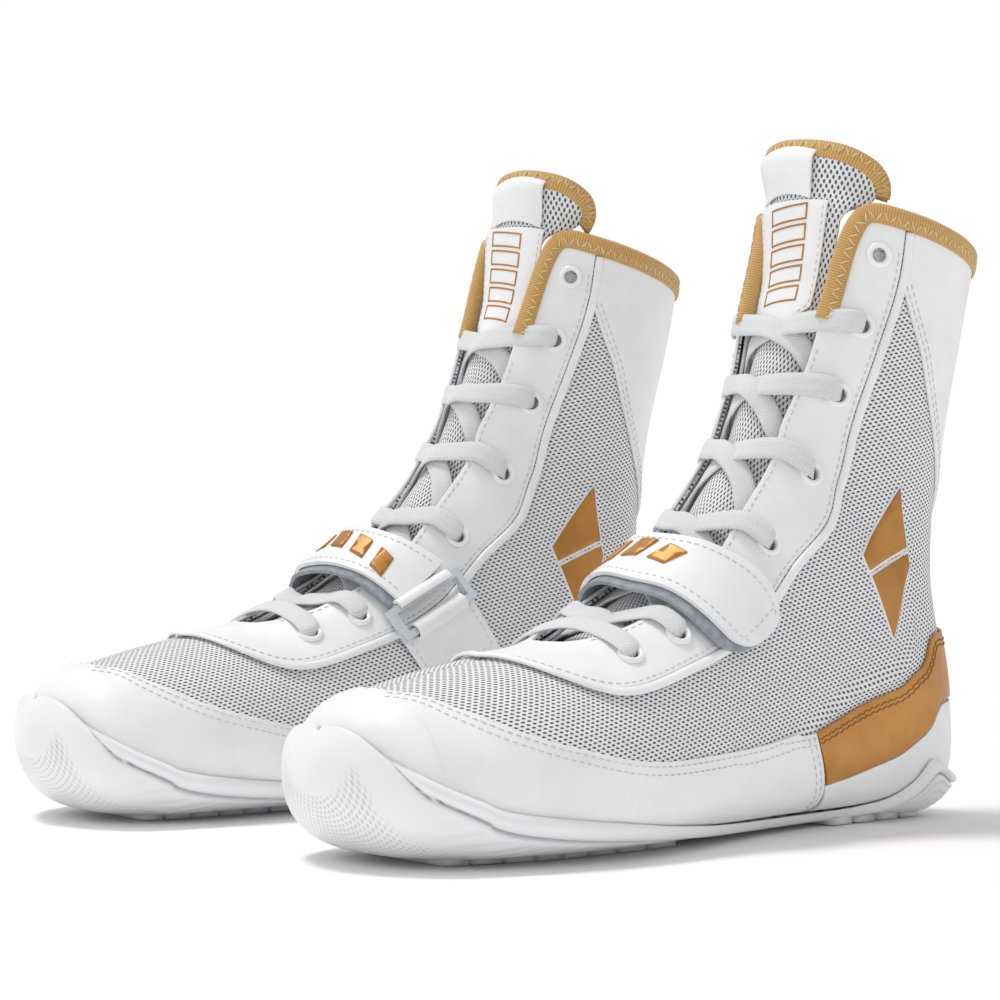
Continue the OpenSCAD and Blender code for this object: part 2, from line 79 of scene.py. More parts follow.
# Eyelets, top row first: place along the boot and angle round it
EYELETS = [(12.0, 54), (11.15, 56), (10.15, 53), (8.4, 43), (6.85, 43), (5.9, 42), (5.03, 40), (4.38, 35)]
MUDGUARD_EDGE = [(0.3, 0), (1.4, 0), (1.46, 10), (1.75, 24), (1.97, 38), (2.25, 50), (2.6, 60),
                 (3.1, 69), (4.2, 80), (5.2, 86), (6.35, 91)]
EYESTAY_INNER = [(COLLAR_U, 36), (11.8, 33), (11, 33), (10.1, 34), (8.6, 28), (7, 28), (5.9, 28),
                 (5, 26), (4.4, 20), (4, 10), (3.9, 0)]
EYESTAY_OUTER = [(COLLAR_U, 64), (11.8, 68), (11.1, 67), (10.1, 62), (8.6, 53), (7.1, 53), (6, 54),
                 (5, 52), (4, 46), (3.4, 28), (3.1, 0)]
SOLE_EDGE = [(0.03, 0), (0.5, 0), (0.58, 14), (0.68, 36), (0.82, 60), (1, 72), (1.4, 82), (2, 90),
             (2.8, 97), (3.8, 108), (4.6, 126), (5.2, 142), (6, 157), (6.7, 161), (7.1, 152),
             (7.45, 132), (7.75, 119), (8, 130), (8.3, 150), (8.6, 171)]
GOLD_TOP = [(6.36, 91), (7, 92), (7.6, 92), (8.2, 93), (9, 103), (9.45, 125), (9.75, 150), (9.85, 180)]
GOLD_LOW = [(6.38, 118), (6.8, 117), (7.25, 114), (7.75, 107), (8.35, 107), (8.85, 125), (9.2, 150),
            (9.35, 180)]
HEEL_LOW = [(6.46, 166), (6.9, 168), (7.2, 168), (7.5, 166), (7.8, 166), (8.1, 168), (8.3, 172), (8.35, 180)]
UPPER_HEEL_TOP = [(COLLAR_U, 70), (COLLAR_U, 84), (COLLAR_U, 98), (COLLAR_U, 112), (COLLAR_U, 130),
                  (COLLAR_U, 154), (COLLAR_U, 180)]
UPPER_HEEL_LOW = [(11.8, 71), (11.6, 80), (11.35, 92), (11.05, 105), (10.8, 124), (10.62, 150), (10.55, 180)]
STRAP_BACK = [(6.38, -45, 7), (6.2, -32, 7), (6.0, -14, 6.8), (5.94, 6, 6.8), (6.14, 26, 7), (6.36, 44, 7),
              (6.42, 60, 5.4)]
STRAP_FRONT = [(5.5, -45, 7), (5.36, -30, 7), (5.2, -12, 6.8), (5.1, 8, 6.8), (5.24, 26, 7), (5.4, 46, 7),
               (5.6, 60, 5.4)]
# Depths of the outer faces of the layers, measured outwards from the skin
MESH_O = -0.3
PANEL_O = 1.0
PIPING_O = 2.1
LINING_O = -2.2
TONGUE_O = -6.2
SOLE_O = 4.65


# ---- The boot's surface, as arrays of millimetres ----

def smooth(a, b, c, d, t):
    """A smooth curve through four neighbours, from b to c as t runs from 0 to 1."""
    return 0.5 * (2 * b + (c - a) * t + (2 * a - 5 * b + 4 * c - d) * t ** 2 + (3 * b - 3 * c + d - a) * t ** 3)


def section(u):
    last = len(SECTIONS) - 1
    first = SECTIONS[1]
    turned = np.array([first[2], first[3], first[0], first[1], -first[4], *first[5:]])
    rows = np.vstack([turned, SECTIONS, 2 * SECTIONS[last] - SECTIONS[last - 1]])
    i = np.clip(np.floor(u).astype(int), 0, last - 1)
    return smooth(rows[i], rows[i + 1], rows[i + 2], rows[i + 3], (u - i)[:, None])


def skin(u, v):
    """Points of the skin: u runs from toe tip to tongue top, v is the angle round the section."""
    s = section(u)
    c, w = np.cos(np.radians(v)), np.sin(np.radians(v))
    front = c >= 0
    power = 2 / np.where(front, s[:, 7], s[:, 8])
    along, across = np.abs(c) ** power, np.sign(w) * np.abs(w) ** power
    mid_y, mid_z = s[:, 0] + (s[:, 2] - s[:, 0]) * s[:, 5], s[:, 1] + (s[:, 3] - s[:, 1]) * s[:, 5]
    tip_y, tip_z = np.where(front, s[:, 0], s[:, 2]), np.where(front, s[:, 1], s[:, 3])
    return np.stack([s[:, 6] + s[:, 4] * across, mid_y + (tip_y - mid_y) * along,
                     mid_z + (tip_z - mid_z) * along], axis=1)


def slopes(u, v):
    """How the skin runs per unit of u and per degree of v, and its outward normal."""
    along = (skin(u + 0.01, v) - skin(u - 0.01, v)) / 0.02
    round_it = (skin(u, v + 0.6) - skin(u, v - 0.6)) / 1.2
    out = np.cross(round_it, along)
    return along, round_it, out / np.linalg.norm(out, axis=1)[:, None]


def softness(u, v):
    """Slight unevenness of worked fabric and leather, under half a millimetre."""
    v = np.radians(v)
    shaft = np.clip((u - 5) / 3, 0, 1)
    return (0.22 * np.clip(u, 0, 1) * np.sin(1.9 * u + 2.1 * np.cos(v)) * np.cos(v + 0.7 * u)
            + 0.28 * shaft * np.sin(3.1 * u + 1.7 * np.sin(2 * v)))


def place(places, boot, floor=GROUND_GAP, soft=True):
    """World positions in metres of rows of (u, v, depth) on one boot."""
    p = np.asarray(places, float).reshape(-1, 3)
    out = slopes(p[:, 0], p[:, 1])[2]
    depth = p[:, 2] + (softness(p[:, 0], p[:, 1]) if soft else 0)
    q = skin(p[:, 0], p[:, 1]) + out * depth[:, None]
    q[:, 2] = np.maximum(q[:, 2], floor)
    return in_pair(q, boot)


def in_pair(q, boot):
    turn = math.radians(TOE_OUT)
    x = q[:, 0] * math.cos(turn) - q[:, 1] * math.sin(turn) + BOOT_X
    y = q[:, 0] * math.sin(turn) + q[:, 1] * math.cos(turn) + BOOT_Y
    return np.stack([boot.side * x, y + boot.side * STAGGER / 2, q[:, 2]], axis=1) * MM


def edge(points, count, turn=None):
    """count + 1 places on a smooth curve. With turn, its mirror image about that angle follows."""
    p = np.array(points, float)
    if turn is not None:
        back = p[-2::-1].copy()
        back[:, 1] = turn - back[:, 1]
        p = np.vstack([p, back])
    p = np.vstack([2 * p[0] - p[1], p, 2 * p[-1] - p[-2]])
    t = np.linspace(0, len(p) - 3, count + 1)
    i = np.minimum(t.astype(int), len(p) - 4)
    return smooth(p[i], p[i + 1], p[i + 2], p[i + 3], (t - i)[:, None])


def inset(path, distance, steps=6):
    """The curve moved sideways over the skin, to its left as it runs, by millimetres."""
    p = np.array(path, float)
    dot = lambda a, b: np.sum(a * b, axis=1)
    for _ in range(steps):
        along, round_it, out = slopes(p[:, 0], p[:, 1])
        step = np.gradient(p[:, :2], axis=0)
        run = step[:, :1] * along + step[:, 1:2] * round_it
        left = np.cross(out, run / np.linalg.norm(run, axis=1)[:, None]) * distance / steps
        uu, vv, uv = dot(along, along), dot(round_it, round_it), dot(along, round_it)
        area = uu * vv - uv * uv
        p[:, 0] += (dot(left, along) * vv - dot(left, round_it) * uv) / area
        p[:, 1] += (dot(left, round_it) * uu - dot(left, along) * uv) / area
    return p


def forward(path):
    """The places of a path that go on towards the heel, without any that turn back."""
    keep = [0]
    for k in range(1, len(path)):
        if path[k, 0] > path[keep[-1], 0] + 0.002:
            keep.append(k)
    return path[keep]


def with_depth(path, depth):
    p = np.asarray(path, float)
    return np.column_stack([p[:, :2], np.full(len(p), depth) if np.isscalar(depth) else depth])


def between(edge_a, edge_b, cols):
    """A grid of places between two curves with the same number of places."""
    t = np.linspace(0, 1, cols + 1)[None, :, None]
    return np.asarray(edge_a)[:, None, :] * (1 - t) + np.asarray(edge_b)[:, None, :] * t


# ---- Making pieces ----

class Boot:
    """One boot of the pair: the side it is worn on and the bodies its pieces ride on."""

    def __init__(self, name, side):
        self.name, self.side = name, side
        self.bodies = {"boot": name + "_boot", "tongue": name + "_tongue_top_body",
                       "ring": name + "_ring_body", "flap": name + "_strap_flap_body"}


def finish_piece(obj, boot, material, body="boot", replaces=()):
    obj.data.materials.append(material)
    if body:
        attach(obj, boot.bodies[body])
    if replaces:
        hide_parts(*[boot.name + "_" + node for node in replaces])
    return obj


def object_from(bm, name):
    mesh = bpy.data.meshes.new(name)
    bm.to_mesh(mesh)
    bm.free()
    mesh.shade_smooth()
    obj = bpy.data.objects.new(name, mesh)
    bpy.context.scene.collection.objects.link(obj)
    return obj


def mapped_grid(points, uvs):
    """A grid of faces through rows of world points, with its UVs in millimetres."""
    rows, cols = points.shape[0] - 1, points.shape[1] - 1
    bm = bmesh.new()
    bmesh.ops.create_grid(bm, x_segments=cols, y_segments=rows, size=0.5)
    uv = bm.loops.layers.uv.new("UVMap")
    where = {v.index: (round((v.co.y + 0.5) * rows), round((v.co.x + 0.5) * cols)) for v in bm.verts}
    for face in bm.faces:
        for loop in face.loops:
            loop[uv].uv = uvs[where[loop.vert.index]]
    for vert in bm.verts:
        vert.co = points[where[vert.index]]
    bm.normal_update()
    return bm


def grid_mesh(grid, boot, wrap=False, uvs=None, floor=GROUND_GAP, soft=True):
    """A grid of places as a bmesh that faces outwards. Without UVs of its own it gets its sizes."""
    points = place(grid, boot, floor, soft).reshape(grid.shape)
    if uvs is None:
        gaps = np.linalg.norm(np.diff(points, axis=1), axis=2)
        across = np.concatenate([np.zeros((len(points), 1)), np.cumsum(gaps, axis=1)], axis=1) / MM
        middle = grid.shape[1] // 2
        across -= across[:, middle:middle + 1]
        steps = np.linalg.norm(np.diff(points[:, middle], axis=0), axis=1)
        along = np.concatenate([[0], np.cumsum(steps)]) / MM
        uvs = np.stack([across, np.broadcast_to(along[:, None], across.shape)], axis=2)
    bm = mapped_grid(points, uvs)
    above = place(grid + [0, 0, 1], boot, -1000, soft).reshape(grid.shape) - place(grid, boot, -1000, soft).reshape(grid.shape)
    i, j = grid.shape[0] // 2, grid.shape[1] // 2
    a, b = points[i + 1, j] - points[i, j], points[i, j + 1] - points[i, j]
    # a fresh grid's faces look along columns times rows
    if np.dot(np.cross(b, a), above[i, j]) < 0:
        bmesh.ops.reverse_faces(bm, faces=bm.faces)
    if wrap:
        bmesh.ops.remove_doubles(bm, verts=bm.verts, dist=0.00001)
    return bm


def thicken(obj, thickness, rim=0.0):
    solid = obj.modifiers.new("thickness", "SOLIDIFY")
    solid.thickness = thickness * MM
    solid.offset = -1
    if rim:
        bevel = obj.modifiers.new("rim", "BEVEL")
        bevel.width = rim * MM
        bevel.segments = 3
        bevel.limit_method = "ANGLE"
        bevel.angle_limit = math.radians(50)
    return obj


def panel(boot, name, grid, thickness, rim=0.35, wrap=False):
    """A sheet with its outer face on the grid, its thickness inwards and a rounded rim."""
    return thicken(object_from(grid_mesh(grid, boot, wrap), boot.name + "_" + name), thickness, rim)


def path_frames(path, boot, pitch):
    """Points a pitch apart along a path, each with its run and its outward direction."""
    dense = place(path, boot)
    above = place(np.asarray(path) + [0, 0, 1], boot)
    reach = np.concatenate([[0], np.cumsum(np.linalg.norm(np.diff(dense, axis=0), axis=1))])
    count = max(int(reach[-1] / (pitch * MM)), 1)
    for s in (np.arange(count) + 0.5) * reach[-1] / count:
        k = min(int(np.searchsorted(reach, s)), len(reach) - 1)
        t = (s - reach[k - 1]) / max(reach[k] - reach[k - 1], 1e-9)
        yield (Vector(dense[k - 1] + (dense[k] - dense[k - 1]) * t),
               Vector(dense[k] - dense[k - 1]).normalized(), Vector(above[k] - dense[k]).normalized())


def thread(boot, name, rows, material, body="boot", length=2.2, width=0.55, pitch=3.0, zigzag=0):
    """Sewn rows as small rounded stitches. zigzag turns each second stitch the other way."""
    bm = bmesh.new()
    for path in rows:
        for n, (point, run, out) in enumerate(path_frames(path, boot, pitch)):
            side = out.cross(run)
            if zigzag:
                lean = math.radians(zigzag if n % 2 else -zigzag)
                run, side = run * math.cos(lean) + side * math.sin(lean), side * math.cos(lean) - run * math.sin(lean)
            turn = Matrix((run * length, side * width, out * width * 0.7)).transposed().to_4x4()
            bmesh.ops.create_icosphere(bm, subdivisions=1, radius=0.5 * MM, matrix=Matrix.Translation(point) @ turn)
    bmesh.ops.recalc_face_normals(bm, faces=bm.faces)
    return finish_piece(object_from(bm, boot.name + "_" + name), boot, material, body)


# ---- Materials ----

def linear(hex_colour):
    """A linear colour with alpha from an sRGB hex value."""
    parts = [int(hex_colour[i:i + 2], 16) / 255 for i in (1, 3, 5)]
    return tuple(c / 12.92 if c <= 0.04045 else ((c + 0.055) / 1.055) ** 2.4 for c in parts) + (1.0,)


def add(tree, kind, settings=None, **inputs):
    """Adds a node. Inputs are numbers, colours or the outputs of other nodes, and _1 is input 1."""
    node = tree.nodes.new("ShaderNode" + kind)
    for key, value in (settings or {}).items():
        setattr(node, key, value)
    for key, value in inputs.items():
        socket = node.inputs[int(key[1:]) if key[0] == "_" else key.replace("_", " ")]
        if isinstance(value, bpy.types.NodeSocket):
            tree.links.new(value, socket)
        else:
            socket.default_value = value
    return node


def calc(tree, operation, *values):
    node = add(tree, "Math", {"operation": operation}, **{"_" + str(i): v for i, v in enumerate(values)})
    return node.outputs[0]


def new_material(name):
    """A material with its tree, its shader and Object coordinates in millimetres."""
    material = bpy.data.materials.new(name)
    material.use_nodes = True
    tree = material.node_tree
    where = add(tree, "TexCoord").outputs["Object"]
    place_mm = add(tree, "VectorMath", {"operation": "SCALE"}, _0=where, Scale=1 / MM).outputs[0]
    return material, tree, tree.nodes["Principled BSDF"], place_mm


def tint(tree, factor, low, high):
    node = add(tree, "Mix", {"data_type": "RGBA"}, Factor=factor)
    for index, colour in ((6, low), (7, high)):
        if isinstance(colour, str):
            node.inputs[index].default_value = linear(colour)
        else:
            tree.links.new(colour, node.inputs[index])
    return node.outputs[2]


def smooth_stuff(name, low, high, roughness, grain_mm, bump, spread=0.08, sheen=0.0, metallic=0.0, coat=0.0,
                 patch_mm=18):
    """A worked surface: broad changes of colour, and a fine grain in its roughness and height."""
    material, tree, shader, spot = new_material(name)
    broad = add(tree, "TexNoise", Vector=spot, Scale=1 / patch_mm, Detail=2.0).outputs[0]
    grain = add(tree, "TexVoronoi", Vector=spot, Scale=1 / grain_mm).outputs["Distance"]
    fine = add(tree, "TexNoise", Vector=spot, Scale=2.5 / grain_mm, Detail=3.0).outputs[0]
    height = calc(tree, "ADD", grain, fine)
    tree.links.new(tint(tree, add(tree, "MapRange", Value=broad, _1=0.35, _2=0.65).outputs[0], low, high),
                   shader.inputs["Base Color"])
    tree.links.new(calc(tree, "MULTIPLY_ADD", fine, spread, roughness - spread / 2), shader.inputs["Roughness"])
    tree.links.new(add(tree, "Bump", Strength=bump, Distance=0.0004, Height=height).outputs[0],
                   shader.inputs["Normal"])
    shader.inputs["Sheen Weight"].default_value = sheen
    shader.inputs["Metallic"].default_value = metallic
    shader.inputs["Coat Weight"].default_value = coat
    return material


def own_uv(tree):
    split = add(tree, "SeparateXYZ", Vector=add(tree, "UVMap").outputs[0])
    return split.outputs[0], split.outputs[1]


def staggered_cells(tree, across, along, pitch_x, pitch_y, lean=0.0):
    """Where a point is in its cell of a staggered grid, in millimetres from the cell's middle."""
    across = calc(tree, "MULTIPLY_ADD", along, lean, across)
    row = calc(tree, "FLOOR", calc(tree, "DIVIDE", along, pitch_y))
    shift = calc(tree, "MULTIPLY", calc(tree, "PINGPONG", row, 1.0), 0.5)
    x = calc(tree, "ADD", calc(tree, "DIVIDE", across, pitch_x), shift)
    y = calc(tree, "DIVIDE", along, pitch_y)
    x = calc(tree, "MULTIPLY", calc(tree, "SUBTRACT", calc(tree, "FRACT", x), 0.5), pitch_x)
    y = calc(tree, "MULTIPLY", calc(tree, "SUBTRACT", calc(tree, "FRACT", y), 0.5), pitch_y)
    return x, y


def air_mesh(name, pitch, hole, lean, slant, thread_low, thread_high, painted_shade):
    """Knitted air mesh: rows of slanted oval holes between shining white yarns, the holes a dark colour that is painted
    shade.
    """
    material, tree, shader, spot = new_material(name)
    across, along = own_uv(tree)
    x, y = staggered_cells(tree, across, along, pitch[0], pitch[1], lean)
    c, s = math.cos(slant), math.sin(slant)
    long_way = calc(tree, "ADD", calc(tree, "MULTIPLY", x, c), calc(tree, "MULTIPLY", y, s))
    short_way = calc(tree, "SUBTRACT", calc(tree, "MULTIPLY", y, c), calc(tree, "MULTIPLY", x, s))
    reach = calc(tree, "ADD", calc(tree, "POWER", calc(tree, "ABSOLUTE", calc(tree, "DIVIDE", long_way, hole[0] / 2)), 2.4),
                 calc(tree, "POWER", calc(tree, "ABSOLUTE", calc(tree, "DIVIDE", short_way, hole[1] / 2)), 2.4))
    yarn = add(tree, "MapRange", Value=reach, _1=0.55, _2=1.5).outputs[0]
    broad = add(tree, "TexNoise", Vector=spot, Scale=1 / 9.0, Detail=2.0).outputs[0]
    white = tint(tree, broad, thread_low, thread_high)
    # Painted shade: the holes get the dark colour, for the shade inside them.
    tree.links.new(tint(tree, yarn, painted_shade, white), shader.inputs["Base Color"])
    fibre = add(tree, "TexNoise", Vector=spot, Scale=3.0, Detail=2.0).outputs[0]
    height = calc(tree, "MULTIPLY_ADD", fibre, 0.15, yarn)
    tree.links.new(add(tree, "Bump", Strength=0.6, Distance=0.0004, Height=height).outputs[0],
                   shader.inputs["Normal"])
    tree.links.new(calc(tree, "MULTIPLY_ADD", yarn, -0.25, 0.85), shader.inputs["Roughness"])
    shader.inputs["Sheen Weight"].default_value = 0.15
    return material


def ribbed_tape(name, low, high, pitch, herringbone=0.0, bump=0.5):
    """Woven tape: ribs across its length, or a zigzag of ribs where herringbone is above 0, with painted shade
    darkening the grooves between the ribs.
    """
    material, tree, shader, spot = new_material(name)
    across, along = own_uv(tree)
    if herringbone:
        zig = calc(tree, "PINGPONG", across, herringbone)
        along = calc(tree, "MULTIPLY_ADD", zig, 0.7, along)
    wave = calc(tree, "SINE", calc(tree, "MULTIPLY", along, 2 * math.pi / pitch))
    rib = calc(tree, "MULTIPLY_ADD", wave, 0.5, 0.5)
    fine = add(tree, "TexNoise", Vector=spot, Scale=2.5, Detail=3.0).outputs[0]
    level = calc(tree, "ADD", calc(tree, "MULTIPLY", rib, 0.75), calc(tree, "MULTIPLY", fine, 0.25))
    # Painted shade: the colour darkens in the grooves between the ribs, with the same wave as the bump.
    tree.links.new(tint(tree, level, low, high), shader.inputs["Base Color"])
    tree.links.new(calc(tree, "MULTIPLY_ADD", fine, 0.1, 0.6), shader.inputs["Roughness"])
    tree.links.new(add(tree, "Bump", Strength=bump, Distance=0.0003, Height=level).outputs[0],
                   shader.inputs["Normal"])
    shader.inputs["Sheen Weight"].default_value = 0.2
    return material


def cup_rubber():
    """Moulded rubber of the outsole: satin white, dimpled where the dimples attribute says so, with painted shade in
    the dimples and along its grooves and joint lines.
    """
    material, tree, shader, spot = new_material("moulded_white_rubber")
    across, along = own_uv(tree)
    x, y = staggered_cells(tree, across, along, 2.2, 1.9)
    reach = calc(tree, "SQRT", calc(tree, "ADD", calc(tree, "POWER", x, 2.0), calc(tree, "POWER", y, 2.0)))
    dimple = add(tree, "MapRange", Value=reach, _1=0.3, _2=0.8).outputs[0]
    share = add(tree, "Attribute", {"attribute_name": "dimples"}).outputs["Fac"]
    # Painted shade: deep also darkens the colour inside each dimple, besides sinking it in the bump.
    deep = calc(tree, "MULTIPLY", calc(tree, "SUBTRACT", 1.0, dimple), share)
    fine = add(tree, "TexNoise", Vector=spot, Scale=1.4, Detail=2.0).outputs[0]
    broad = add(tree, "TexNoise", Vector=spot, Scale=1 / 20, Detail=1.0).outputs[0]
    base = tint(tree, broad, "#EFF1F4", "#F8F9FA")
    # Painted shade: this attribute darkens the rubber towards grey where the rolled edge meets the wall, in the heel
    # clip's grooves and along the toe bumper's top edge.
    seam = add(tree, "Attribute", {"attribute_name": "seam"}).outputs["Fac"]
    painted_shade = calc(tree, "ADD", calc(tree, "MULTIPLY", deep, 0.3), calc(tree, "MULTIPLY", seam, 0.75))
    tree.links.new(tint(tree, painted_shade, base, "#8E949E"), shader.inputs["Base Color"])
    height = calc(tree, "SUBTRACT", calc(tree, "MULTIPLY", fine, 0.08), deep)
    tree.links.new(add(tree, "Bump", Strength=0.6, Distance=0.0005, Height=height).outputs[0],
                   shader.inputs["Normal"])
    tree.links.new(calc(tree, "MULTIPLY_ADD", fine, 0.1, 0.32), shader.inputs["Roughness"])
    return material


RUBBER = cup_rubber()
LEATHER = smooth_stuff("coated_white_leather", "#F3F4F6", "#FAFAFB", 0.42, 0.9, 0.12)
GOLD_LEATHER = smooth_stuff("foil_gold_leather", "#BD7F3A", "#CE9249", 0.38, 0.7, 0.2, metallic=0.35)
PRINT = smooth_stuff("gold_printed_film", "#B57A33", "#C58A40", 0.36, 0.6, 0.15, metallic=0.3)
# The last colour of each air mesh is painted shade inside its holes.
MESH = air_mesh("knitted_air_mesh", (2.3, 1.35), (1.35, 0.72), 0.0, math.radians(-14), "#E9EBEE", "#F7F8F9", "#4D525C")
TONGUE_MESH = air_mesh("open_air_mesh", (2.1, 1.75), (0.85, 1.5), 0.0, 0.0, "#E7E9EC", "#F6F7F8", "#545963")
# The low colours of the grosgrain and the lace are painted shade in the grooves between their ribs.
BINDING = ribbed_tape("gold_grosgrain", "#B88A47", "#E2B974", 1.0)
LACE = ribbed_tape("flat_cotton_lace", "#D3D6DB", "#FBFBFB", 0.8, herringbone=1.75, bump=0.7)
HOOK = smooth_stuff("brushed_loop_pile", "#9AA2AE", "#B9C0C9", 0.92, 0.35, 0.9, sheen=0.5, patch_mm=3)
LINING = smooth_stuff("brushed_tricot", "#D9DBDF", "#E9EBED", 0.9, 0.5, 0.5, sheen=0.3)
ENAMEL = smooth_stuff("white_enamelled_brass", "#F6F7F8", "#FDFDFD", 0.2, 1.5, 0.05, spread=0.04, coat=0.3)
ACETAL = smooth_stuff("moulded_grey_acetal", "#CFD7DE", "#DBE2E7", 0.34, 0.8, 0.08)
THREAD = smooth_stuff("white_polyester_thread", "#CFD2D7", "#E3E5E8", 0.6, 0.4, 0.4)
GOLD_THREAD = smooth_stuff("gold_polyester_thread", "#8C5F28", "#A87538", 0.55, 0.4, 0.4)
PALE_THREAD = smooth_stuff("cream_polyester_thread", "#EBCB95", "#F3DDB2", 0.5, 0.4, 0.4)
FOAM = smooth_stuff("covered_eva_foam", "#CBCED3", "#DBDDE1", 0.88, 0.6, 0.5)
BOARD = smooth_stuff("pressed_fibre_board", "#B9A27B", "#CDB992", 0.85, 0.8, 0.5)
STIFFENER = smooth_stuff("thermoplastic_stiffener", "#CFC3AC", "#DDD2BD", 0.6, 1.0, 0.2)
TREAD = smooth_stuff("moulded_tread_rubber", "#E6E8EB", "#F1F2F4", 0.5, 0.6, 0.35)


# ---- Measures over the surface ----

ARC_U = np.arange(0, 14.001, 0.1)
ARC_V = np.arange(0, 180.1, 3.0)
GRID_U, GRID_V = np.meshgrid(ARC_U, ARC_V, indexing="ij")
SKIN_GRID = skin(GRID_U.ravel(), GRID_V.ravel()).reshape(len(ARC_U), len(ARC_V), 3)
ARC = np.concatenate([np.zeros((len(ARC_U), 1)),
                      np.cumsum(np.linalg.norm(np.diff(SKIN_GRID, axis=1), axis=2), axis=1)], axis=1)
SIDE_LINE = 75
FABRIC_RISE = math.radians(12)
FRONT_LINE = 0


def reach_along(line):
    """Millimetres along the boot for each u in ARC_U, measured on the line at that angle."""
    k = int(line / 3)
    return np.concatenate([[0], np.cumsum(np.linalg.norm(np.diff(SKIN_GRID[:, k], axis=0), axis=1))])


ALONG = {line: reach_along(line) for line in (SIDE_LINE, FRONT_LINE)}


def flat(u, v, line=SIDE_LINE):
    """Where a place lies on the flattened surface: millimetres round from the front, and along."""
    u, v = np.asarray(u, float), np.asarray(v, float)
    over = np.abs(v) > 180
    a = np.where(over, 360 - np.abs(v), np.abs(v))
    i = np.clip(u / 0.1, 0, len(ARC_U) - 1.001)
    j = np.clip(a / 3.0, 0, len(ARC_V) - 1.001)
    i0, j0 = i.astype(int), j.astype(int)
    fi, fj = i - i0, j - j0
    arc = (ARC[i0, j0] * (1 - fi) * (1 - fj) + ARC[i0 + 1, j0] * fi * (1 - fj)
           + ARC[i0, j0 + 1] * (1 - fi) * fj + ARC[i0 + 1, j0 + 1] * fi * fj)
    total = ARC[i0, -1] * (1 - fi) + ARC[i0 + 1, -1] * fi
    arc = np.where(over, 2 * total - arc, arc) * np.sign(v)
    return arc, np.interp(u, ARC_U, ALONG[line])


def unflat(x, y, line=SIDE_LINE):
    """The places (u, v) of points given in millimetres on the flattened surface."""
    u = np.atleast_1d(np.interp(y, ALONG[line], ARC_U))
    v = []
    for a, b in zip(np.atleast_1d(x), u):
        i = min(int(b / 0.1), len(ARC_U) - 2)
        row = ARC[i] + (ARC[i + 1] - ARC[i]) * (b / 0.1 - i)
        v.append(math.copysign(np.interp(abs(a), row, ARC_V), a))
    return u, np.array(v)


def side_view(u, v):
    """Where a place lies on one side laid out flat, as millimetres back and up."""
    s = section(u)
    gap = s[:, 2:4] - s[:, 0:2]
    way = gap / np.linalg.norm(gap, axis=1)[:, None]
    middle = s[:, 0:2] + gap * s[:, 5:6]
    return middle + way * (flat(u, np.abs(v))[0] - flat(u, np.full(len(u), 90.0))[0])[:, None]


def from_side_view(points, u, v):
    """The places (u, v) of points of the side laid out flat, searched for from a place near them."""
    points = np.asarray(points, float)
    u, v = np.full(len(points), float(u)), np.full(len(points), float(v))
    for _ in range(12):
        here = side_view(u, v)
        by_u = (side_view(u + 0.05, v) - here) / 0.05
        by_v = (side_view(u, v + 2) - here) / 2
        off = points - here
        area = by_u[:, 0] * by_v[:, 1] - by_u[:, 1] * by_v[:, 0]
        u = u + np.clip((off[:, 0] * by_v[:, 1] - off[:, 1] * by_v[:, 0]) / area, -0.8, 0.8)
        v = v + np.clip((by_u[:, 0] * off[:, 1] - by_u[:, 1] * off[:, 0]) / area, -20, 20)
    return u, v


# ---- Upper and sole ----

def uv_of(grid, line=SIDE_LINE):
    x, y = flat(grid[..., 0].ravel(), grid[..., 1].ravel(), line)
    return np.stack([x, y], axis=1).reshape(grid.shape[0], grid.shape[1], 2)


def side_uv(grid):
    """The fabric's own measure: its rows rise towards the heel."""
    p = side_view(grid[..., 0].ravel(), grid[..., 1].ravel())
    c, s = math.cos(FABRIC_RISE), math.sin(FABRIC_RISE)
    return np.stack([p[:, 0] * c + p[:, 1] * s, p[:, 1] * c - p[:, 0] * s], axis=1).reshape(grid.shape[:2] + (2,))


def eyelet_places(boot, first=0):
    return place([(u, side * v, 1.0) for u, v in EYELETS[first:] for side in (1, -1)], boot)


def punch(bm, boot, radius, first=0):
    """Takes out the faces round each eyelet, under its flange."""
    spots = eyelet_places(boot, first)
    faces = [f for f in bm.faces if np.min(np.linalg.norm(spots - np.array(f.calc_center_median()), axis=1)) < radius * MM]
    bmesh.ops.delete(bm, geom=faces, context="FACES")


def fabric_grid(side, inner, rows, cols, last, depth):
    """Rows from the throat's edge round one side, for u in rows."""
    grid = np.zeros((len(rows), cols + 1, 3))
    for i, u in enumerate(rows):
        grid[i, :, 0] = u
        grid[i, :, 1] = side * np.linspace(np.interp(u, *inner), last, cols + 1)
    grid[..., 2] = depth
    return grid


THROAT_TABLE = ([3.0, 3.7, 4.1, 4.4, 5, 5.9, 7, 8.6, 10.1, 11, 11.8, COLLAR_U],
                [0.0, 8, 17, 22, 28, 30, 30, 30, 36, 35, 35, 38])


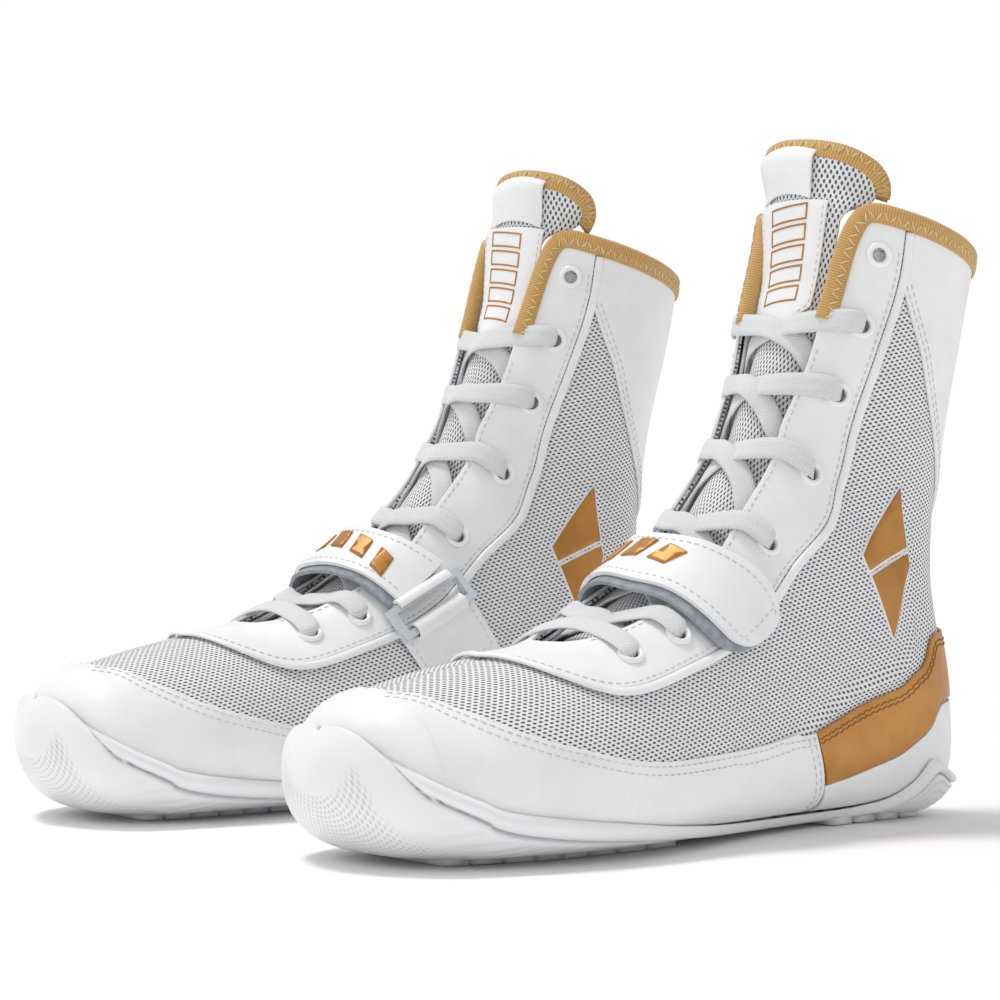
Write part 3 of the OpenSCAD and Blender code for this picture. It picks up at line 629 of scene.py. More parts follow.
def build_fabric(boot):
    """The air mesh from the toe to the collar, and the lining behind it."""
    rows = np.concatenate([np.linspace(1.2, 3.0, 26), np.linspace(3.06, COLLAR_U, 120)])
    for side, name in ((1, "lateral"), (-1, "medial")):
        last = 180 if side > 0 else 180.0
        grid = fabric_grid(side, THROAT_TABLE, rows, 84, last, MESH_O)
        bm = grid_mesh(grid, boot, uvs=side_uv(grid))
        punch(bm, boot, 3.6)
        obj = thicken(object_from(bm, boot.name + "_" + name + "_air_mesh"), 0.9)
        nodes = [name + "_mesh"] + (["vamp_mesh"] if side > 0 else [])
        finish_piece(obj, boot, MESH, replaces=nodes)
        grid = fabric_grid(side, THROAT_TABLE, np.linspace(3.06, COLLAR_U, 60), 40, last, LINING_O)
        bm = grid_mesh(grid, boot, uvs=uv_of(grid))
        punch(bm, boot, 4.0, first=1)
        obj = thicken(object_from(bm, boot.name + "_" + name + "_tricot_lining"), 1.2)
        finish_piece(obj, boot, LINING, replaces=[name + "_lining"])
    grid = fabric_grid(1, ([0, 14], [-176, -176]), np.linspace(0.25, 3.0, 24), 60, 176, LINING_O)
    stiff = fabric_grid(1, ([0, 14], [-96, -96]), np.linspace(0.3, 1.45, 16), 40, 96, -1.5)
    obj = panel(boot, "toe_stiffener", stiff, 0.5, rim=0)
    finish_piece(obj, boot, STIFFENER, replaces=["toe_puff"])
    obj = panel(boot, "toe_tricot_lining", grid, 1.2, rim=0)
    finish_piece(obj, boot, LINING, replaces=["toe_lining"])


def wrapped(path, cols, depth):
    """Rows from an edge under the boot to the same edge on the other side."""
    grid = np.zeros((len(path), cols + 1, 3))
    grid[..., 0] = path[:, :1]
    share = np.linspace(0, 1, cols + 1)[None, :]
    grid[..., 1] = path[:, 1:2] * (1 - share) + (360 - path[:, 1:2]) * share
    grid[..., 2] = depth
    return grid


def rise(x):
    x = np.clip(x, 0, 1)
    return x * x * (3 - 2 * x)


ROLL_HEIGHT = 5.6


def build_outsole(boot):
    """The moulded cup: toe bumper, rolled edge, slanted grooves, waist and pointed heel clip."""
    path = edge(SOLE_EDGE, 19 * 14)
    path[0] = (0.03, 0)
    path[:, 1] = np.clip(np.where(path[:, 0] < 0.5, 0, path[:, 1]), 0, 179)
    path = forward(path)
    cols = 150
    share = np.linspace(0, 1, cols + 1)
    share = share + 0.9 * np.sin(4 * np.pi * share) / (4 * np.pi) * -1      # finer near both edges
    grid = np.zeros((len(path), cols + 1, 3))
    grid[..., 0] = path[:, :1]
    grid[..., 1] = path[:, 1:2] * (1 - share) + (360 - path[:, 1:2]) * share
    base = skin(grid[..., 0].ravel(), grid[..., 1].ravel()).reshape(grid.shape)
    step = np.linalg.norm(np.diff(base, axis=1), axis=2)
    from_edge = np.concatenate([np.zeros((len(path), 1)), np.cumsum(step, axis=1)], axis=1)
    below = np.minimum(from_edge, from_edge[:, -1:] - from_edge)
    toe = np.maximum(0.5 - grid[..., 0], 0) * 30
    below = np.hypot(below, toe)
    u = grid[..., 0]
    roll = rise((u - 0.8) / 0.5)
    height = ROLL_HEIGHT * np.maximum(roll, 0.05)
    bumper = 1.05 + 3.6 * np.sqrt(1 - (1 - np.clip(below / 3.0, 0, 1)) ** 2)
    round_roll = 1.9 + 3.2 * np.sqrt(np.clip(1 - ((below - height / 2) / (height / 2)) ** 2, 0, 1))
    wall = 2.6 + 2.0 * np.sqrt(1 - (1 - np.clip((below - height) / 1.6, 0, 1)) ** 2)
    rolled = np.where(below < height, round_roll, wall)
    depth = bumper * (1 - roll) + rolled * roll
    along = flat(u.ravel(), np.full(u.size, 120.0))[1].reshape(u.shape)
    # slanted grooves under the roll, at the forefoot and inside the heel clip
    front = rise((u - 1.2) / 0.5) * rise((4.7 - u) / 0.5)
    cut = np.exp(-((((along * 0.55 + below) / 4.6) % 1 - 0.5) / 0.13) ** 2)
    window = rise((below - height - 1.6) / 1.5) * rise((height + 11 - below) / 3)
    depth = depth - 0.75 * cut * window * front
    heel = rise((u - 6.6) / 0.3)
    cut = np.exp(-((((below - height) / 4.6) % 1 - 0.75) / 0.16) ** 2)
    window = rise((below - height - 2.2) / 1) * rise((height + 19 - below) / 3)
    depth = depth - 0.3 * cut * window * heel - 0.15 * window * heel
    # Painted shade: a dark line for the rubber's colour where the rolled edge meets the wall, over the heel clip's
    # grooves and along the toe bumper's top edge.
    seam = np.exp(-((below - height) / 0.5) ** 2) * roll + 0.35 * cut * window * heel + np.exp(-(below / 0.6) ** 2) * (1 - roll)
    grid[..., 2] = depth
    bm = grid_mesh(grid, boot, wrap=True, floor=0.4, soft=False)
    nearest = min(v.co.y for v in bm.verts) + 0.006
    tip = [e for e in bm.edges if e.is_boundary and all(v.co.y < nearest for v in e.verts)]
    bmesh.ops.holes_fill(bm, edges=tip, sides=0)
    dimples = rise((3.1 - u) / 0.5) * rise((below - height - 17 + 7 * rise(u - 0.6)) / 7)
    spots = place(grid, boot, floor=0.4, soft=False)
    for name, values in (("dimples", dimples), ("seam", seam)):
        layer = bm.verts.layers.float.new(name)
        marks = {tuple(np.round(point * 1e5)): value for point, value in zip(spots, values.ravel())}
        for vert in bm.verts:
            vert[layer] = float(marks.get(tuple(np.round(np.array(vert.co) * 1e5)), 0.0))
    obj = thicken(object_from(bm, boot.name + "_cup_sole"), 3.0)
    finish_piece(obj, boot, RUBBER, replaces=["outsole"])


def build_treads(boot):
    """Flat blocks under the sole with grooves between them: eight at the forefoot, four at the heel."""
    bm = bmesh.new()
    for first, last, count in ((1.9, 4.9, 8), (6.7, 7.8, 4)):
        ends = np.linspace(first, last, count + 1)
        for a, b in zip(ends + 0.03, ends[1:] - 0.03):
            outline = skin(np.array([a, a, b, b]), np.array([160.0, -160, -160, 160]))
            low, high = outline.copy(), outline.copy()
            low[:, 2], high[:, 2] = GROUND_GAP, 3.4
            spots = in_pair(np.vstack([low, high]), boot)
            cube = bmesh.ops.create_cube(bm, size=2)["verts"]
            for vert in cube:
                k = (3 if vert.co.x > 0 else 2) if vert.co.y > 0 else (0 if vert.co.x > 0 else 1)
                vert.co = spots[k + (4 if vert.co.z > 0 else 0)]
    bmesh.ops.recalc_face_normals(bm, faces=bm.faces)
    obj = object_from(bm, boot.name + "_tread_blocks")
    finish_piece(obj, boot, TREAD, replaces=["forefoot_tread", "heel_tread"])


def build_panels(boot):
    """The smooth overlays."""
    top = edge(MUDGUARD_EDGE, 10 * 14)
    top[top[:, 0] < 1.4, 1] = 0
    start = np.column_stack([np.linspace(0.3, 1.34, 16), np.zeros(16)])
    path = forward(np.vstack([start, top[top[:, 0] >= 1.38]]))
    obj = panel(boot, "mudguard", wrapped(path, 110, PANEL_O), 1.2, wrap=True)
    finish_piece(obj, boot, LEATHER, replaces=["mudguard"])

    def strip_between(name, upper, lower, material, node, steps=90, cols=14, raise_by=0.0):
        grid = between(edge(upper, steps, 360), edge(lower, steps, 360), cols)
        grid = np.concatenate([grid, np.full(grid.shape[:2] + (1,), PANEL_O + raise_by)], axis=2)
        obj = panel(boot, name, grid, 1.2)
        return finish_piece(obj, boot, material, replaces=[node])

    strip_between("heel_cover", [(u - 0.02, v + 1) for u, v in GOLD_LOW], HEEL_LOW, LEATHER, "heel_cover")
    strip_between("gold_heel_band", GOLD_TOP, GOLD_LOW, GOLD_LEATHER, "heel_band", raise_by=0.25)
    strip_between("upper_heel_panel", UPPER_HEEL_TOP, UPPER_HEEL_LOW, LEATHER, "upper_heel_panel", cols=24)

    inner = np.vstack([edge(EYESTAY_INNER, 150)])
    outer = edge(EYESTAY_OUTER, 150)
    both = lambda p: np.vstack([p, np.column_stack([p[-2::-1, 0], -p[-2::-1, 1]])])
    grid = between(both(inner), both(outer), 20)
    grid = np.concatenate([grid, np.full(grid.shape[:2] + (1,), PANEL_O)], axis=2)
    bm = grid_mesh(grid, boot)
    punch(bm, boot, 3.6)
    obj = thicken(object_from(bm, boot.name + "_eyestay"), 1.2, rim=0.3)
    finish_piece(obj, boot, LEATHER, replaces=["lateral_eyestay", "medial_eyestay"])

    # the raised cord along the eyestay's outer edge
    below = outer[outer[:, 0] < COLLAR_U - 0.12]
    cord = inset_rows(both(below), np.linspace(0.2, 3.6, 9))
    profile = PANEL_O + 0.1 + 1.1 * np.sqrt(np.clip(1 - np.linspace(-1, 1, 9) ** 2, 0, 1))
    cord = np.concatenate([cord, np.broadcast_to(profile, cord.shape[:2])[..., None]], axis=2)
    obj = panel(boot, "edge_cord", cord, 0.7, rim=0)
    finish_piece(obj, boot, LEATHER, replaces=["piping"])


def inset_rows(path, distances):
    """The curve moved sideways by each distance: a grid with one column for each of them."""
    return np.stack([inset(path, d) for d in distances], axis=1)


def build_sewing(boot):
    """Sewn rows on the upper."""
    rear = np.column_stack([np.full(30, 6.35), np.linspace(91, 150, 30)])
    guard = edge(MUDGUARD_EDGE, 200)
    guard = forward(guard[guard[:, 1] > 12])
    both = lambda p: [p, np.column_stack([p[:, 0], -p[:, 1]])]
    rows = []
    for far in (1.7, 4.4):
        for path in both(guard):
            sign = 1 if path[-1, 1] > 0 else -1
            rows.append(with_depth(inset(path, -far * sign), PANEL_O + 0.1))
    for far in (2.0, 4.6):
        for path in both(rear):
            sign = 1 if path[-1, 1] > 0 else -1
            rows.append(with_depth(inset(path, -far * sign), PANEL_O + 0.1))
    stay = edge(EYESTAY_OUTER, 200)
    for path in both(stay):
        sign = 1 if path[0, 1] > 0 else -1
        rows.append(with_depth(inset(path[10:], -1.6 * sign), PANEL_O + 0.1))
    stay = edge(EYESTAY_INNER, 200)[:170]
    for path in both(stay):
        sign = 1 if path[0, 1] > 0 else -1
        rows.append(with_depth(inset(path[52:], 1.8 * sign), PANEL_O + 0.1))
    heel = edge(UPPER_HEEL_LOW, 140, 360)
    for far in (1.6, 3.6):
        rows.append(with_depth(inset(heel, far), PANEL_O + 0.1))
    thread(boot, "white_sewing", rows, THREAD, length=2.3, width=0.6, pitch=3.0)
    band = edge(GOLD_TOP, 140, 360)
    rows = [with_depth(inset(band, far), PANEL_O + 0.4) for far in (-2.8, -4.6)]
    thread(boot, "band_sewing", rows, GOLD_THREAD, length=2.2, width=0.5, pitch=1.7, zigzag=24)


# ---- Bindings, eyelets and laces ----

def binding(boot, name, path, half_depth, middle, reach, material, node, body="boot"):
    """A rolled tape over an edge: its outside strip, the roll and its inside strip, closed."""
    section_of = [(reach, half_depth - 0.7), (reach - 0.3, half_depth)]
    for k in range(9):
        angle = math.radians(80 - 20 * k)
        section_of.append((0.4 - 1.9 * math.cos(angle), half_depth * math.sin(angle)))
    section_of += [(reach - 0.3, -half_depth), (reach, 0.7 - half_depth), (reach - 0.6, 1.1 - half_depth), (1.0, 0),
                   (reach - 0.6, half_depth - 1.1), (reach, half_depth - 0.7)]
    sign = -1
    grid = inset_rows(path, [sign * s for s, _ in section_of])
    depth = np.broadcast_to(middle, len(path))[:, None] + np.array([d for _, d in section_of])
    grid = np.concatenate([grid, depth[..., None]], axis=2)
    bm = grid_mesh(grid, boot, wrap=True)
    bmesh.ops.holes_fill(bm, edges=[e for e in bm.edges if e.is_boundary], sides=0)
    bmesh.ops.recalc_face_normals(bm, faces=bm.faces)
    obj = object_from(bm, boot.name + "_" + name)
    return finish_piece(obj, boot, material, body, replaces=[node] if node else [])


def build_collar(boot):
    rim = [(10.95, 31.5), (11.4, 31.5), (11.9, 31.5), (12.25, 33.5), (12.44, 38.5), (12.5, 47), (12.5, 64), (12.5, 90),
           (12.5, 120), (12.5, 150), (12.5, 180)]
    path = edge(rim, 180, 360)
    binding(boot, "collar_binding", path, 3.0, -1.0, 6.4, BINDING, "collar_binding")
    rows = [with_depth(inset(path, -3.9), 2.1)]
    thread(boot, "collar_sewing", rows, PALE_THREAD, length=4.4, width=0.6, pitch=2.6, zigzag=58)


def build_eyelets(boot):
    """Rolled enamelled eyelets, spun from one profile."""
    bm = bmesh.new()
    profile = [(2.6, -3.4), (2.6, 0.9), (2.75, 1.9), (3.2, 2.35), (3.9, 2.3), (4.6, 1.9), (4.85, 1.3), (4.7, 0.95),
               (3.3, 0.9), (3.1, -3.4)]
    for u, v in EYELETS:
        for side in (1, -1):
            spot = place([(u, side * v, 0), (u, side * v, 1)], boot)
            out = Vector(spot[1] - spot[0]).normalized()
            turn = out.to_track_quat("Z", "Y").to_matrix().to_4x4()
            verts = [bmesh.ops.create_vert(bm, co=(r * MM, 0, z * MM))["vert"][0] for r, z in profile]
            edges = [bm.edges.new((verts[k], verts[(k + 1) % len(verts)])) for k in range(len(verts))]
            ring = bmesh.ops.spin(bm, geom=verts + edges, cent=(0, 0, 0), axis=(0, 0, 1), angle=math.tau, steps=28,
                                  use_merge=True)
            new = {v for g in ring["geom_last"] if isinstance(g, bmesh.types.BMVert) for v in [g]}
            todo = list(new | set(verts))
            seen = set(todo)
            while todo:
                for e in todo.pop().link_edges:
                    for other in e.verts:
                        if other not in seen:
                            seen.add(other)
                            todo.append(other)
            bmesh.ops.transform(bm, matrix=Matrix.Translation(Vector(spot[0])) @ turn, verts=list(seen))
    bmesh.ops.recalc_face_normals(bm, faces=bm.faces)
    finish_piece(object_from(bm, boot.name + "_eyelets"), boot, ENAMEL, replaces=["eyelets"])


LACE_WIDTH = 8.6
LACE_THICK = 1.2


def crossing(i, side, lift):
    """Places of one crossing: out over an eyelet, over the tongue and under the other side's edge."""
    (ua, va), (ub, vb) = EYELETS[i], EYELETS[i + 1]
    mix = lambda t: ua + (ub - ua) * t
    return [(ua, side * (va + 0.5), 0.4), (ua, side * (va - 2), 3.0), (mix(0.1), side * (va - 12), 2.6),
            (mix(0.34), side * va * 0.42, -1.2), (mix(0.5), 0, lift),
            (mix(0.68), -side * vb * 0.45, -4.4), (mix(0.92), -side * (vb - 12), -4.6),
            (ub, -side * (vb - 1), -4.2), (ub, -side * (vb + 0.5), -1.5)]


def strand(side, lifts):
    places = []
    for i in range(1, 7):
        places += crossing(i, side, lifts[i % 2])
        side = -side
    return places


def lace_route():
    low_u, low_v = EYELETS[7]
    end = lambda side: [(10.6, side * 52, -5), (10.9, side * 55, -5), (EYELETS[1][0], side * 56.5, -4.4),
                        (EYELETS[1][0], side * 56.5, -1.5)]
    bar = [(low_u, low_v + 0.5, 0.4), (low_u, low_v - 2, 3.0), (low_u, low_v * 0.6, 2.0), (low_u, 0, 1.0),
           (low_u, -low_v * 0.6, 2.0), (low_u, 2 - low_v, 3.0), (low_u, -low_v - 0.5, 0.4)]
    down, up = strand(1, (-2.9, -4.8)), strand(-1, (-4.8, -2.9))
    return end(1) + down + bar + up[::-1] + end(-1)[::-1]


def build_lace(boot):
    """One flat lace through every eyelet row but the top one, both ends tucked behind the stay."""
    route = np.array(lace_route(), float)
    pts = place(route, boot)
    ups = place(route + [0.1, 0, 0], boot) - place(route - [0.1, 0, 0], boot)
    pad = lambda a: np.vstack([2 * a[0] - a[1], a, 2 * a[-1] - a[-2]])
    narrow = np.where(np.abs(route[:, 2] - 0.4) < 0.01, 0.5, np.where(np.abs(route[:, 2] + 1.5) < 0.01, 0.45, 1.0))
    pts, ups, narrow = pad(pts), pad(ups), pad(narrow[:, None])
    t = np.linspace(0, len(route) - 1, (len(route) - 1) * 7 + 1)
    i = np.minimum(t.astype(int), len(route) - 2)
    f = (t - i)[:, None]
    line = smooth(pts[i], pts[i + 1], pts[i + 2], pts[i + 3], f)
    row = smooth(ups[i], ups[i + 1], ups[i + 2], ups[i + 3], f)
    wide = np.clip(smooth(narrow[i], narrow[i + 1], narrow[i + 2], narrow[i + 3], f), 0.4, 1.0)
    go = np.gradient(line, axis=0)
    go /= np.linalg.norm(go, axis=1)[:, None]
    row -= np.sum(row * go, axis=1)[:, None] * go
    row /= np.linalg.norm(row, axis=1)[:, None]
    up = np.cross(go, row)
    length = np.concatenate([[0], np.cumsum(np.linalg.norm(np.diff(line, axis=0), axis=1))]) / MM
    shape = [(-1, 0), (-0.9, 0.75), (-0.5, 1), (0, 0.92), (0.5, 1), (0.9, 0.75), (1, 0), (0.9, -0.75), (0.5, -1),
             (0, -0.92), (-0.5, -1), (-0.9, -0.75)]
    rings = np.stack([line + wide * row * (x * LACE_WIDTH / 2 * MM) + up * (y * LACE_THICK / 2 * MM)
                      for x, y in shape + shape[:1]], axis=1)
    across = np.array([x for x, _ in shape + shape[:1]]) * LACE_WIDTH / 2
    uvs = np.stack([np.broadcast_to(across, rings.shape[:2]), np.broadcast_to(length[:, None], rings.shape[:2])], axis=2)
    bm = mapped_grid(rings, uvs)
    bmesh.ops.remove_doubles(bm, verts=bm.verts, dist=0.000005)
    bmesh.ops.holes_fill(bm, edges=[e for e in bm.edges if e.is_boundary], sides=0)
    bmesh.ops.recalc_face_normals(bm, faces=bm.faces)
    finish_piece(object_from(bm, boot.name + "_lace"), boot, LACE, replaces=["lace"])


# ---- Tongue, strap and ring ----

TONGUE_WIDTH = ([3.95, 5, 7, 9, 10.9, 11.2, 12.3, 12.42, 12.5, 12.56],
                [20, 30, 34, 36, 34, 29, 27, 30, 35, 42])
TONGUE_RIM = [(12.58, 44), (12.7, 47), (12.82, 43), (12.9, 36), (12.97, 26), (13.01, 13), (13.03, 0)]


def tongue_turn(u):
    """Degrees by which the tongue's middle leans to the inner side."""
    return np.interp(u, [12.5, 12.7, 13.03], [0, -3, -8])


def tongue_face(u, v):
    """Depth of the tongue's outer face. Above the lace it leans forward out of the collar."""
    u, v = np.asarray(u, float), np.asarray(v, float)
    middle = np.interp(u, [11.0, 11.5, 12.0, 12.56, 12.8, 12.95, 13.05], [TONGUE_O, -5.3, -2.5, 1.6, 4.0, 5.2, 5.6])
    away = np.minimum(np.abs(v - tongue_turn(u)) / 46, 1.1)
    return middle - (1.2 + 7.4 * rise((u - 12.4) / 0.25)) * rise((u - 11.2) / 0.5) * away ** 2


def build_tongue(boot):
    """The padded mesh tongue with its taped rim."""
    share = np.linspace(-1, 1, 57)
    low_rows = np.linspace(3.95, 12.56, 100)
    low = np.stack([np.stack([np.full(57, u), share * np.interp(u, *TONGUE_WIDTH)], axis=1) for u in low_rows])
    rim = edge(TONGUE_RIM, 28)
    rim = np.vstack([np.column_stack([rim[:, 0], -rim[:, 1]]), rim[-2::-1]])
    rim[:, 1] += tongue_turn(rim[:, 0])
    high = np.transpose(between(low[-1], rim, 12), (1, 0, 2))[1:]
    flat_grid = np.concatenate([low, high], axis=0)
    crown = 0.9 * (1 - np.abs(share) ** 4)
    grid = np.concatenate([flat_grid, (tongue_face(flat_grid[..., 0], flat_grid[..., 1]) - 0.7 + crown)[..., None]], axis=2)
    bm = grid_mesh(grid, boot, uvs=uv_of(grid, FRONT_LINE))
    obj = thicken(object_from(bm, boot.name + "_padded_tongue"), 3.6, rim=1.2)
    finish_piece(obj, boot, TONGUE_MESH, None, replaces=["tongue", "tongue_top"])
    pivot = place([(10.8, 0, TONGUE_O), (12.2, 0, TONGUE_O)], boot)
    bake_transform(obj)
    path = rim[3:-3]
    path = path[::-1]
    face = tongue_face(path[:, 0], path[:, 1])
    binding(boot, "tongue_binding", path, 2.7, face - 2.2, 6.2, BINDING, None, body="tongue")
    rows = [with_depth(inset(path, -3.7), face + 0.7)]
    thread(boot, "tongue_sewing", rows, PALE_THREAD, "tongue", length=4.2, width=0.6, pitch=2.8, zigzag=58)


def cut_out(boot, name, outlines, at, line, depth, thickness, material, body="boot", cell=2.5, turn=0.0, rim=0.15):
    """Flat shapes given in millimetres round a place on the boot, laid on its surface. Without a
    line they are laid out on the boot's side, with x towards the heel and y upwards."""
    x0, y0 = side_view(np.array([at[0]]), np.array([at[1]]))[0] if line is None else flat(*at, line)
    bm = bmesh.new()
    for outline in outlines:
        verts = [bmesh.ops.create_vert(bm, co=(x, y, 0))["vert"][0] for x, y in outline]
        bmesh.ops.contextual_create(bm, geom=verts + [bm.edges.new((verts[k], verts[(k + 1) % len(verts)]))
                                                      for k in range(len(verts))])
    bmesh.ops.triangulate(bm, faces=bm.faces[:])
    for axis in (0, 1):
        spread = [v.co[axis] for v in bm.verts]
        for cut in np.arange(math.floor(min(spread) / cell) * cell + cell, max(spread), cell):
            bmesh.ops.bisect_plane(bm, geom=bm.verts[:] + bm.edges[:] + bm.faces[:], dist=0.0001,
                                   plane_co=(cut, cut, 0), plane_no=(axis == 0, axis == 1, 0))
    uv = bm.loops.layers.uv.new("UVMap")
    for face in bm.faces:
        for loop in face.loops:
            loop[uv].uv = (float(x0) + loop.vert.co.x, float(y0) + loop.vert.co.y)
    c, s = math.cos(math.radians(turn)), math.sin(math.radians(turn))
    xs = np.array([x0 + p.co.x * c - p.co.y * s for p in bm.verts])
    ys = np.array([y0 + p.co.x * s + p.co.y * c for p in bm.verts])
    if line is None:
        u, v = from_side_view(np.stack([xs, ys], axis=1), at[0], abs(at[1]))
        v = np.copysign(v, at[1])
    else:
        u, v = unflat(xs, ys, line)
    deep = depth(u, v) if callable(depth) else np.full(len(u), depth)
    spots = place(np.column_stack([u, v, deep]), boot)
    above = place(np.column_stack([u, v, deep + 1]), boot)
    for vert, spot in zip(bm.verts, spots):
        vert.co = spot
    bmesh.ops.recalc_face_normals(bm, faces=bm.faces)
    bm.normal_update()
    bm.verts.ensure_lookup_table()
    bm.faces.ensure_lookup_table()
    k = bm.faces[0].verts[0].index
    bm.verts.index_update()
    for island in islands(bm):
        first = island[0]
        k = first.verts[0].index
        if first.normal.dot(Vector(above[k] - spots[k])) < 0:
            bmesh.ops.reverse_faces(bm, faces=island)
    obj = thicken(object_from(bm, boot.name + "_" + name), thickness, rim=rim)
    return finish_piece(obj, boot, material, body)


def islands(bm):
    left = set(bm.faces)
    while left:
        todo = [left.pop()]
        found = []
        while todo:
            face = todo.pop()
            found.append(face)
            for e in face.edges:
                for other in e.link_faces:
                    if other in left:
                        left.discard(other)
                        todo.append(other)
        yield found


def build_tongue_front(boot):
    """The white patch with its gold outlines, and the tab sewn over the tongue's rim."""
    patch = [(-18, 20), (18, 20), (18, -18), (0, -33), (-18, -18)]
    at = (11.83, -4)
    raised = lambda height: lambda u, v: tongue_face(u, v) + height
    cut_out(boot, "tongue_patch", [patch], at, FRONT_LINE, raised(1.3), 0.9, LEATHER, "tongue", rim=0.25)
    x0, y0 = flat(*at, FRONT_LINE)
    # a stack of outlined slanted bars
    bars = []
    for k in range(5):
        low = -18 + 7.4 * k
        outer = [(-8, low), (10, low + 1.5), (10, low + 6.9), (-8, low + 5.4)]
        for a, b in zip(outer, outer[1:] + outer[:1]):
            run = np.array([b[0] - a[0], b[1] - a[1]], float)
            run /= np.linalg.norm(run)
            side = np.array([-run[1], run[0]]) * 0.35
            a, b = np.array(a) - run * 0.35, np.array(b) + run * 0.35
            bars.append([tuple(a + side), tuple(a - side), tuple(b - side), tuple(b + side)])
    cut_out(boot, "patch_outlines", bars, at, FRONT_LINE, raised(1.46), 0.25, PRINT, "tongue", rim=0)
    seam = [(-16.6, 18.6), (-16.6, -17.2), (0, -31.3), (16.6, -17.2), (16.6, 18.6)]
    rows = []
    for a, b in zip(seam, seam[1:]):
        t = np.linspace(0, 1, 24)[:, None]
        line = np.array(a) * (1 - t) + np.array(b) * t
        u, v = unflat(float(x0) + line[:, 0], float(y0) + line[:, 1], FRONT_LINE)
        rows.append(np.column_stack([u, v, tongue_face(u, v) + 1.35]))
    thread(boot, "patch_sewing", rows, THREAD, "tongue", length=2.0, width=0.5, pitch=2.7)
    # the tab: up the outside, over the rim and down the inside
    top = float(flat(TONGUE_RIM[-1][0], 0, FRONT_LINE)[1])
    section_of = [(-15, 2.2), (-11, 2.5), (-6, 2.9), (-1.5, 3.2), (1.6, 2.5), (3.4, 0.6), (3.9, -2.0), (3.4, -4.6),
                  (1.6, -6.6), (-1.5, -7.4), (-6, -7.4), (-10, -7.2)]
    dense = edge(section_of, 44)
    cols = np.linspace(-13.5, 13.5, 19) - 6
    rows = []
    for y, depth in dense:
        bend = 0.011 * (cols + 6) ** 2
        u, v = unflat(cols, top + y - bend, FRONT_LINE)
        rows.append(np.column_stack([u, v, tongue_face(np.minimum(u, 13.02), v) + depth - 0.5]))
    grid = np.array(rows)
    bm = grid_mesh(grid, boot)
    bmesh.ops.recalc_face_normals(bm, faces=bm.faces)
    outside = Vector(place([(13.2, 0, 20)], boot)[0])
    bm.faces.ensure_lookup_table()
    face = bm.faces[5]
    if face.normal.dot(outside - face.calc_center_median()) < 0:
        bmesh.ops.reverse_faces(bm, faces=bm.faces)
    obj = thicken(object_from(bm, boot.name + "_pull_tab"), 1.0, rim=0.3)
    finish_piece(obj, boot, LEATHER, "tongue", replaces=["pull_tab"])


def strap_grid(depth_shift, rounded, front_extra=0.0, first=0.0, last=1.0, rows=110, cols=26):
    back, front = edge(STRAP_BACK, rows), edge(STRAP_FRONT, rows)
    t = np.linspace(0, 1, rows + 1)
    keep = (t >= first) & (t <= last)
    back, front = back[keep].copy(), front[keep].copy()
    middle, half = (back + front) / 2, (back - front) / 2
    if rounded:
        reach = np.concatenate([[0], np.cumsum(np.linalg.norm(np.diff(skin(middle[:, 0], middle[:, 1]), axis=0), axis=1))])
        left = reach[-1] - reach
        wide, corner = 15.0, 10.0
        x = np.clip((corner - left) / corner, 0, 1)
        half = half * ((wide - corner + corner * np.sqrt(1 - x ** 2)) / wide)[:, None]
    grid = between(middle + half, middle - half * (1 + front_extra), cols)
    grid[..., 2] += depth_shift
    return grid


def build_strap(boot):
    """The strap: a grey loop-pile lower layer, and the white flap that presses onto it."""
    base = strap_grid(-2.1, True, front_extra=0.26)
    obj = panel(boot, "strap_pile", base, 1.6, rim=0.5)
    finish_piece(obj, boot, HOOK, replaces=["strap_base"])
    flap = strap_grid(0.0, True)
    obj = panel(boot, "strap_flap", flap, 1.7, rim=0.5)
    finish_piece(obj, boot, LEATHER, "flap", replaces=["strap_flap"])
    rows = []
    for share, sign in ((0.1, 1), (0.9, -1)):
        j = int(round(share * 26))
        rows.append(flap[4:-3, j] + [0, 0, 0.1])
    end = flap[-7].copy()
    rows.append(end[3:-3] + [0, 0, 0.1])
    thread(boot, "strap_sewing", rows, THREAD, "flap", length=2.2, width=0.55, pitch=2.9)
    # generic slanted bars printed on the flap
    bars = []
    for k in range(4):
        x = -27 + 11 * k
        bars.append([(x, -4.5), (x + 6.5, -4.5), (x + 9.5, 5.5), (x + 3, 5.5)])
    cut_out(boot, "strap_bars", bars, (5.62, 0), FRONT_LINE, 7.45, 0.5, PRINT, "flap", rim=0)


def ring_frame(boot):
    """The ring's middle and its directions along its long side, downwards and outwards."""
    row = (skin(np.array([6.3]), np.array([-54.0])) - skin(np.array([5.5]), np.array([-52.0])))[0]
    row /= np.linalg.norm(row)
    n = slopes(np.array([5.92]), np.array([-54.0]))[2][0]
    out = n - n.dot(row) * row
    out /= np.linalg.norm(out)
    down = np.cross(out, row)
    middle = skin(np.array([5.92]), np.array([-53.0]))[0] + 5 * out
    return middle, row, down, out


